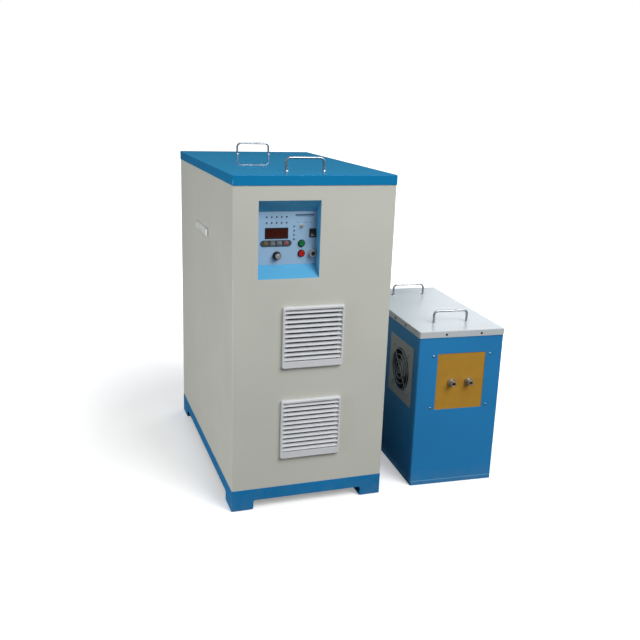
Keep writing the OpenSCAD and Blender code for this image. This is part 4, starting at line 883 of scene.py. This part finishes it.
# Power rocker: a black nylon frame clipped into its opening, and a paddle that tips
# about a pin. The toggle above the start button is a plated bat lever in a nickel bush.
rocker_at = panel @ moved(rocker_spot[0], 0, rocker_spot[1])
bm = bmesh.new()
for wide, high, radius, thick in ((21.5, 28, 2, 2), (18.5, 25, 0.4, -15)):
    frame_part = bmesh.new()
    rim(frame_part, wide, high, radius)
    rim(frame_part, 15.5, 22, 0.4)
    plate(frame_part, thick, bridged=True)
    join_in(bm, frame_part)
back = bmesh.new()
rim(back, 18.5, 25, 0.4)
plate(back, 3)
join_in(bm, back, moved(0, 0, -18))
settle(
    "rocker_bezel", bm, rocker_at @ upright, panel_black, ["rocker_frame"],
    edge=0.4,
)
bm = bmesh.new()
bm.faces.new([
    bm.verts.new((depth, high, 0)) for depth, high in (
        (4, -5.25), (4, 5.25), (-1, 10.5), (-5, 10.5), (-4.1, 5.5), (-3.4, 0), (-4.1, -5.5),
        (-5, -10.5), (-1, -10.5),
    )
])
paddle_wide = 14.9
thicken(bm, paddle_wide)
lift(bm, -paddle_wide / 2)
settle(
    "rocker_key", bm, rocker_at @ swung(-7, "X") @ sideways,
    moulding("nylon_rocker", "#17181a", "#121315", 0.28), ["power_rocker"],
    body="rocker", edge=0.5, steps=3,
)
nickel = plated("nickel_plate", "#d6d5d0", 0.36, 10)
toggle_at = panel @ moved(toggle_spot[0], 0, toggle_spot[1])
bm = bmesh.new()
stub(bm, 2.3, 12.6, steps=20, top=3.4)
for width, high in ((4.8, 0), (3.4, 14)):
    ball = bmesh.new()
    bmesh.ops.create_uvsphere(ball, u_segments=20, v_segments=12, radius=width / 2)
    join_in(bm, ball, moved(0, 0, high))
stub(bm, 3.4, 1.6, (0, 0, 12.5), steps=20)
settle(
    "toggle_bat", bm, toggle_at @ swung(12, "X") @ upright,
    nickel, ["mode_toggle"], body="toggle", edge=0,
)
bm = bmesh.new()
stub(bm, 12 / hex_ratio, 2, steps=6)
sleeve = bmesh.new()
ring(sleeve, 9, steps=32)
ring(sleeve, 5.4, steps=32)
plate(sleeve, 5, bridged=True)
join_in(bm, sleeve)
settle(
    "toggle_sleeve", bm, toggle_at @ upright, nickel, ["toggle_bush"], edge=0.3
)


# Remote socket: a nickel-plated turned shell with a knurled grip, flanged to the panel,
# round a black insert with five brass pins.
socket_at = on_panel(socket_spot)
bm = bmesh.new()
for outer, inner, low, high in (
    (24, 15, 0, 3), (19, 15, 3, 5), (20, 15, 11.5, 16),
):
    part = bmesh.new()
    ring(part, outer, steps=48)
    ring(part, inner, steps=48)
    plate(part, high - low, bridged=True)
    join_in(bm, part, moved(0, 0, low))
knurl = bmesh.new()
ribbed(knurl, 19.4, 20, 24)
ring(knurl, 15, steps=96)
plate(knurl, 6.5, bridged=True)
join_in(bm, knurl, moved(0, 0, 5))
settle("socket_shell", bm, socket_at, nickel, ["remote_socket"], edge=0.3)
bm = bmesh.new()
stub(bm, 15, 12.4, (0, 0, 0.2), steps=40)
stub(bm, 17, 14, (0, 0, -14), steps=40)
settle("socket_insert", bm, socket_at, panel_black, edge=0.3)
brass = plated("brass", "#c8a04e", 0.26)
bm = bmesh.new()
for i in range(5):
    angle = math.radians(72 * i)
    stub(bm, 1.3, 3, (4.5 * math.cos(angle), 4.5 * math.sin(angle), 12.4), steps=12, top=0.9)
settle("socket_pins", bm, socket_at, brass, edge=0)


# Signal lamps: fourteen 5 mm epoxy lenses, unlit, standing just out of the panel.
epoxy_lens = moulding("epoxy_lens", "#40586a", "#385062", 0.18, ior=1.55)
bm = bmesh.new()
for x, z in lamp_spots:
    stub(bm, 5, 4, (x, z, -3.2), steps=20)
    dome = bmesh.new()
    bmesh.ops.create_uvsphere(dome, u_segments=20, v_segments=12, radius=2.3)
    join_in(bm, dome, moved(x, z, 0.8))
settle(
    "lamp_lenses", bm, panel @ upright, epoxy_lens, ["indicator_lamps"], edge=0
)


# What the cabinet and the station hold: zinc-plated plates, a milled aluminium cooling
# plate, moulded power modules, sleeved capacitors, a varnished choke and the rest. They
# keep their CAD shapes and get the finishes of the real parts.


def banded(name, light, dark, rough, pitch_mm, metal=0.0, way="X"):
    """Laminated or milled stock: fine parallel bands, drawn coarse so that they show."""
    material, tree, shader, place = finish_base(name, Metallic=metal)
    bands = add(
        tree, "ShaderNodeTexWave",
        {"Vector": place, "Scale": 1000 / pitch_mm / 20, "Distortion": 0.6, "Detail": 2.0},
        bands_direction=way,
    ).outputs["Fac"]
    shine = spread(tree, bands, rough, rough * 1.3, 0, 1)
    paint(tree, shader, tones(tree, bands, light, dark), shine)
    relief(tree, shader, bands, 0.1, 0.4)
    return material


zinc, tree, shader, place = finish_base("zinc_plate", Metallic=0.85)
spangle = add(tree, "ShaderNodeTexVoronoi", {"Vector": place, "Scale": 1000 / 16}).outputs["Color"]
grain = add(tree, "ShaderNodeSeparateColor", {"Color": spangle}).outputs["Red"]
matt = spread(tree, grain, 0.32, 0.55, 0, 1)
paint(tree, shader, tones(tree, grain, "#b2b6b8", "#8f9496"), matt)
mask_green, tree, shader, place = finish_base("solder_mask", Roughness=0.3, IOR=1.5)
tracks = add(
    tree, "ShaderNodeTexBrick",
    {"Vector": place, "Scale": 60.0, "Mortar Size": 0.06, "Color1": ink("#1e5a38"),
     "Color2": ink("#236342"), "Mortar": ink("#3c8a5c")},
).outputs["Color"]
tree.links.new(tracks, shader.inputs["Base Color"])
for node, finish in (
    ("floor_tray", zinc),
    ("equipment_plate", zinc),
    ("cooling_plate", banded("milled_aluminium", "#c3c6c9", "#aeb2b5", 0.3, 6, 1.0)),
    ("power_modules", moulding("module_epoxy", "#2a2c30", "#222428", 0.45)),
    ("capacitor_bank", moulding("pvc_sleeve", "#24507e", "#1f4872", 0.25)),
    ("choke", banded("varnished_laminations", "#6a4428", "#4c3020", 0.4, 4, way="Y")),
    ("contactor", moulding("melamine", "#d8d5cc", "#cdcac0", 0.5)),
    ("control_board", mask_green),
    ("output_transformer", moulding("sintered_ferrite", "#414448", "#37393d", 0.6, 2.5)),
    ("resonance_capacitors", moulding("film_capacitor_case", "#cdbd90", "#c2b184", 0.45)),
):
    dress(finish, node)


# Rear fittings: turned brass hose nipples in pairs, black nylon cable glands, and copper
# studs on epoxy boards that take the link cables from the cabinet to the station.
dress(brass, "water_fittings")
dress(moulding("nylon_gland", "#2b2d30", "#242629", 0.42), "cable_glands")
station_wide, station_deep, station_link_level = 314, 620, 360
station = cabinet @ moved(392, 18) @ swung(-3.2, "Z") @ moved(station_wide / 2)
station_back = moved(0, station_deep) @ swung(180, "Z")
copper = plated("tinned_copper", "#c98a66", 0.28)
board_epoxy, tree, shader, place = finish_base("epoxy_glass_board", Roughness=0.42, IOR=1.5)
cloud = spread(tree, noise(tree, place, 38, 4), 0, 1)
matt = spread(tree, cloud, 0.4, 0.46, 0, 1)
paint(tree, shader, tones(tree, cloud, "#b08229", "#a87c27"), matt)
relief(tree, shader, noise(tree, place, 3, 2), 0.05, 0.3)
studs = bmesh.new()
for name, place_of, wide, high, level, pitch, skin in (
    ("cabinet", cabinet @ turned_back, 200, 120, link_level, 90, 2),
    ("station", station @ station_back, 150, 90, station_link_level, 70, 1.5),
):
    bm = bmesh.new()
    rim(bm, wide, high, 1)
    for x in (-1, 1):
        ring(bm, 12.4, at=(x * pitch / 2, 0), steps=24)
    plate(bm, 10)
    at = place_of @ moved(0, 0, level) @ upright @ moved(0, 0, -skin)
    settle(name + "_link_board", bm, at @ moved(0, 0, -10), board_epoxy, edge=0.3)
    for x in (-1, 1):
        stud = bmesh.new()
        stub(stud, 12, 46, (0, 0, -14), steps=28)
        stub(stud, 32, 4, (0, 0, 0), steps=36)
        stub(stud, 32, 4, (0, 0, -14), steps=36)
        stub(stud, 22 / hex_ratio, 10, (0, 0, 4), steps=6)
        join_in(studs, stud, at @ moved(x * pitch / 2))
earth = bmesh.new()
stub(earth, 8, 24, (0, 0, -8), steps=24)
stub(earth, 16 / hex_ratio, 4, (0, 0, 2), steps=6)
stub(earth, 16 / hex_ratio, 4, (0, 0, -4), steps=6)
join_in(
    studs, earth, cabinet @ turned_back @ moved(0, 0, earth_level) @ upright @ moved(0, 0, -2)
)
settle(
    "link_studs", studs, Matrix.Identity(4), copper, ["link_terminals"], edge=0,
    joined=0.000001,
)


# Heat station box: 1.5 mm sheets folded like the cabinet's, standing on a shallow base
# pan, stove-enamelled in a mid blue. A pale band painted just above the pan is a painted
# highlight on the seam there.
station_blue = enamel(
    "stove_enamel_station", "#277db6", "#2577af", 0.38, 1.3, dust_top=0.06, seam_highlight="#8cc4e4"
)
bm = bmesh.new()
rim(bm, station_wide, station_deep, 3, at=(0, station_deep / 2))
edges = bm.edges[:]
bmesh.ops.holes_fill(bm, edges=edges, sides=0)
drawn_out(bm, edges, (0, 0, 13.6))
settle(
    "base_pan", bm, station, station_blue, ["station_base"], edge=0.5, wall=1.5
)
low, high = 14, 572.8
fan_level, duct_wide, window_x, window_z = 390, 156, 4.5, 389
bm = bmesh.new()
rim(bm, 308, high - low, at=(0, (high + low) / 2))
rim(bm, 180, 206, at=(window_x, window_z))
fold_sheet(bm, station_wide / 2, 3, 10, 14, (high,))
settle(
    "station_front_sheet", bm, station @ upright, station_blue,
    ["station_front"], edge=0.4, wall=1.5,
)
bm = bmesh.new()
rim(bm, 308, high - low, at=(0, (high + low) / 2))
rim(bm, 126, 66, at=(0, station_link_level))
for x in (-30, 30):
    ring(bm, 16.6, at=(x, 130), steps=24)
fold_sheet(bm, station_wide / 2, 3, 10, 14, (high,))
settle(
    "station_rear_sheet", bm, station @ station_back @ upright, station_blue,
    ["station_rear"], edge=0, wall=1.5,
)
for side in (-1, 1):
    bm = bmesh.new()
    rim(bm, 599.6, high - low, at=(0, (high + low) / 2))
    if side == -1:
        ring(bm, duct_wide, at=(156, fan_level), steps=64)
    fold_sheet(bm, station_deep, 0, 0, 12.5, (high,))
    turn = moved(side * station_wide / 2, station_deep / 2) @ swung(side * 90, "Z")
    word = "left" if side == -1 else "right"
    settle(
        "station_%s_sheet" % word, bm, station @ turn @ upright, station_blue,
        ["station_" + word], edge=0, wall=1.5,
    )


# Heat station lid: a folded tray in pale grey enamel, screwed on through its skirt, with
# two chromed D handles like the cabinet's.
lid_grey = enamel("stove_enamel_lid", "#b9bfc2", "#b4babd", 0.3, 1.25)
tray_low, tray_tall = 551.5, 22.5
bm = folded_tray(318, 624, 5, station_deep / 2, tray_tall, 2.2, tray_low)
settle(
    "station_lid_tray", bm, station, lid_grey, ["station_lid"], edge=0,
    wall=1.2,
)
tray_top = tray_low + tray_tall
d_handles(
    "station_handle_rods", station, [(108, tray_top), (512, tray_top)],
    ["station_handles"], "root", chrome,
)


# Terminal board: 12 mm ochre epoxy-glass board bolted behind the window by four domed
# screws. Two hollow terminals pass through it, each held by a hexagon and a nut.
bores = [(-32.5, -3), (32.5, -3)]
bm = bmesh.new()
rim(bm, 232, 258, 1)
for bore in bores:
    ring(bm, 18.6, at=bore, steps=36)
plate(bm, -12)
board_at = station @ moved(window_x, 1.5, window_z) @ upright
settle(
    "insulating_board", bm, board_at, board_epoxy, ["terminal_board"], edge=0.5
)
terminal_metal = plated("tinned_brass", "#b9b4ab", 0.36, 12)
bm = bmesh.new()
for bore in bores:
    terminal = bmesh.new()
    ring(terminal, 18, steps=40)
    ring(terminal, 10, steps=40)
    plate(terminal, 96, bridged=True)
    join_in(bm, terminal, moved(*bore, -72))
    for level in (0, -18):
        nut = bmesh.new()
        ring(nut, 26 / hex_ratio, steps=6)
        ring(nut, 17.9, steps=36)
        plate(nut, 6)
        join_in(bm, nut, moved(*bore, level))
settle(
    "hollow_terminals", bm, board_at, terminal_metal, ["output_terminals"],
    edge=0.7, steps=3,
)


# Screws: domed heads with a cross recess. The four round the window are dull zinc,
# those in the lid's skirt have gone brown.
zinc_screw = plated("zinc_screw", "#7d9cb4", 0.45, 6)
brown_screw = plated("browned_screw", "#5a4a40", 0.42, 6)


def domed_screw(bm, wide, tall, place):
    """Domed head on a flat face: a low cap with two crossed slots pressed in."""
    head = bmesh.new()
    ring(head, wide, steps=24)
    edges = drawn_out(head, head.edges[:], (0, 0, tall * 0.4))
    face = bmesh.ops.holes_fill(head, edges=edges, sides=0)["faces"]
    bmesh.ops.inset_region(head, faces=face, thickness=wide * 0.12, depth=tall * 0.35)
    bmesh.ops.inset_region(head, faces=face, thickness=wide * 0.16, depth=tall * 0.2)
    bmesh.ops.inset_region(head, faces=face, thickness=wide * 0.05, depth=-tall * 0.4)
    close_up(head)
    join_in(bm, head, place)


bm = bmesh.new()
for x in (-106.5, 106.5):
    for z in (-95, 95):
        domed_screw(bm, 9, 2.5, board_at @ moved(x, z, 1.5))
settle(
    "board_screws", bm, Matrix.Identity(4), zinc_screw, edge=0, joined=0.000001
)
screw_level = 562
bm = bmesh.new()
for x in (-60, 71):
    domed_screw(bm, 8, 2.5, station @ moved(x, -2, screw_level) @ upright)
for side in (-1, 1):
    for y in (130, 229, 391, 490):
        turn = moved(side * 159, y, screw_level) @ swung(side * 90, "Z")
        domed_screw(bm, 8, 2.5, station @ turn @ upright)
settle(
    "lid_screws", bm, Matrix.Identity(4), brown_screw, ["station_screws"],
    edge=0, joined=0.000001,
)


# Station fan: a grey-painted square plate over the round cut-out, and a guard of plated
# wire rings welded to two crossed spokes, whose eyes take the fan's screws.
plate_grey = enamel("stove_enamel_fan_plate", "#9ba0a0", "#949999", 0.4, 1.3)
fan_at = station @ moved(-station_wide / 2, 154, fan_level) @ swung(-90, "Z")
bm = bmesh.new()
rim(bm, 220, 220, 3)
ring(bm, duct_wide, steps=64)
plate(bm, 2)
settle(
    "fan_cover_plate", bm, fan_at @ upright, plate_grey, ["fan_plate"], edge=0
)
dress(plated("guard_wire", "#b6babc", 0.4, 12), "fan_guard")


# Studio: a plain pale floor, soft light from all round with a large soft source above
# and in front, and a camera where the photographer stood.
floor_white, tree, shader, place = finish_base(
    "studio_floor", Roughness=0.9, Specular_IOR_Level=0.0
)
ray = add(tree, "ShaderNodeLightPath").outputs
unseen = reckon(tree, "MAXIMUM", ray["Is Diffuse Ray"], ray["Is Glossy Ray"])
bounce = tones(tree, unseen, "#f4f4f4", "#5c5c5a")
tree.links.new(bounce, shader.inputs["Base Color"])
away = add(tree, "ShaderNodeVectorMath", {0: place}, operation="LENGTH").outputs["Value"]
paler = spread(tree, away, 0.3, 1.0, 0.9, 2.2)
glow = reckon(tree, "MULTIPLY", ray["Is Camera Ray"], paler)
shader.inputs["Emission Color"].default_value = ink("#ffffff")
tree.links.new(glow, shader.inputs["Emission Strength"])
bm = bmesh.new()
bmesh.ops.create_grid(bm, x_segments=1, y_segments=1, size=30)
lift(bm, -0.0005)
floor = stand("studio_floor", bm)
floor.data.materials.append(floor_white)

# Surroundings: mirrors see a dark band low down and a paler wall in front and above,
# matt surfaces a soft grey, and the camera plain white.
world = bpy.data.worlds.new("studio")
world.use_nodes = True
bpy.context.scene.world = world
tree = world.node_tree
sky = tree.nodes["Background"]
ray = add(tree, "ShaderNodeLightPath").outputs
way = add(
    tree, "ShaderNodeSeparateXYZ", {"Vector": add(tree, "ShaderNodeTexCoord").outputs["Generated"]}
).outputs
height = way["Z"]
soft = tones(tree, spread(tree, height, 0, 1, 0.0, 0.8), "#74767a", "#b2b4b6")
horizon = tones(tree, spread(tree, height, 0, 1, 0.05, 0.12), "#2e6480", "#4f9fc2")
mirrored = tones(tree, spread(tree, height, 0, 1, 0.12, 0.55), horizon, "#a4a8aa")
mirrored = tones(tree, spread(tree, way["Y"], 1, 0, -0.7, 0.0), mirrored, "#b4b8bb")
seen = reckon(tree, "MAXIMUM", ray["Is Glossy Ray"], ray["Is Transmission Ray"])
shine = tones(tree, seen, soft, mirrored)
tree.links.new(tones(tree, ray["Is Camera Ray"], shine, "#ffffff"), sky.inputs["Color"])


def soft_box(name, place, aim, wide, high, watts):
    """A large studio lamp that faces a point."""
    light = bpy.data.lights.new(name, "AREA")
    light.shape = "RECTANGLE"
    light.size, light.size_y = wide, high
    light.energy = watts
    lamp = bpy.data.objects.new(name, light)
    lamp.location = place
    lamp.rotation_euler = (Vector(aim) - Vector(place)).to_track_quat("-Z", "Y").to_euler()
    bpy.context.scene.collection.objects.link(lamp)


soft_box("key", (1.7, -3.5, 3.8), (0, 0, 0.6), 3.0, 3.0, 225)
soft_box("left_fill", (-3.4, -0.5, 0.4), (-0.4, 0, 0.3), 2.2, 0.8, 62)
soft_box("rear_fill", (3.2, 3.2, 2.2), (0, 0, 0.5), 2.4, 2.0, 40)
soft_box("overhead", (0.3, 0.2, 3.4), (0, 0, 0.5), 3.0, 3.0, 6)

lens = bpy.data.cameras.new("photograph")
lens.lens = 45.28
lens.sensor_width = 36
lens.shift_x, lens.shift_y = 0.0085, 0.0011
camera = bpy.data.objects.new("photograph", lens)
camera.location = (-1.0335, -2.82265, 1.344)
camera.rotation_euler = [math.radians(turn) for turn in (74.188, -1.816, -18.450)]
bpy.context.scene.collection.objects.link(camera)
bpy.context.scene.camera = camera
bpy.context.scene.view_settings.view_transform = "Standard"
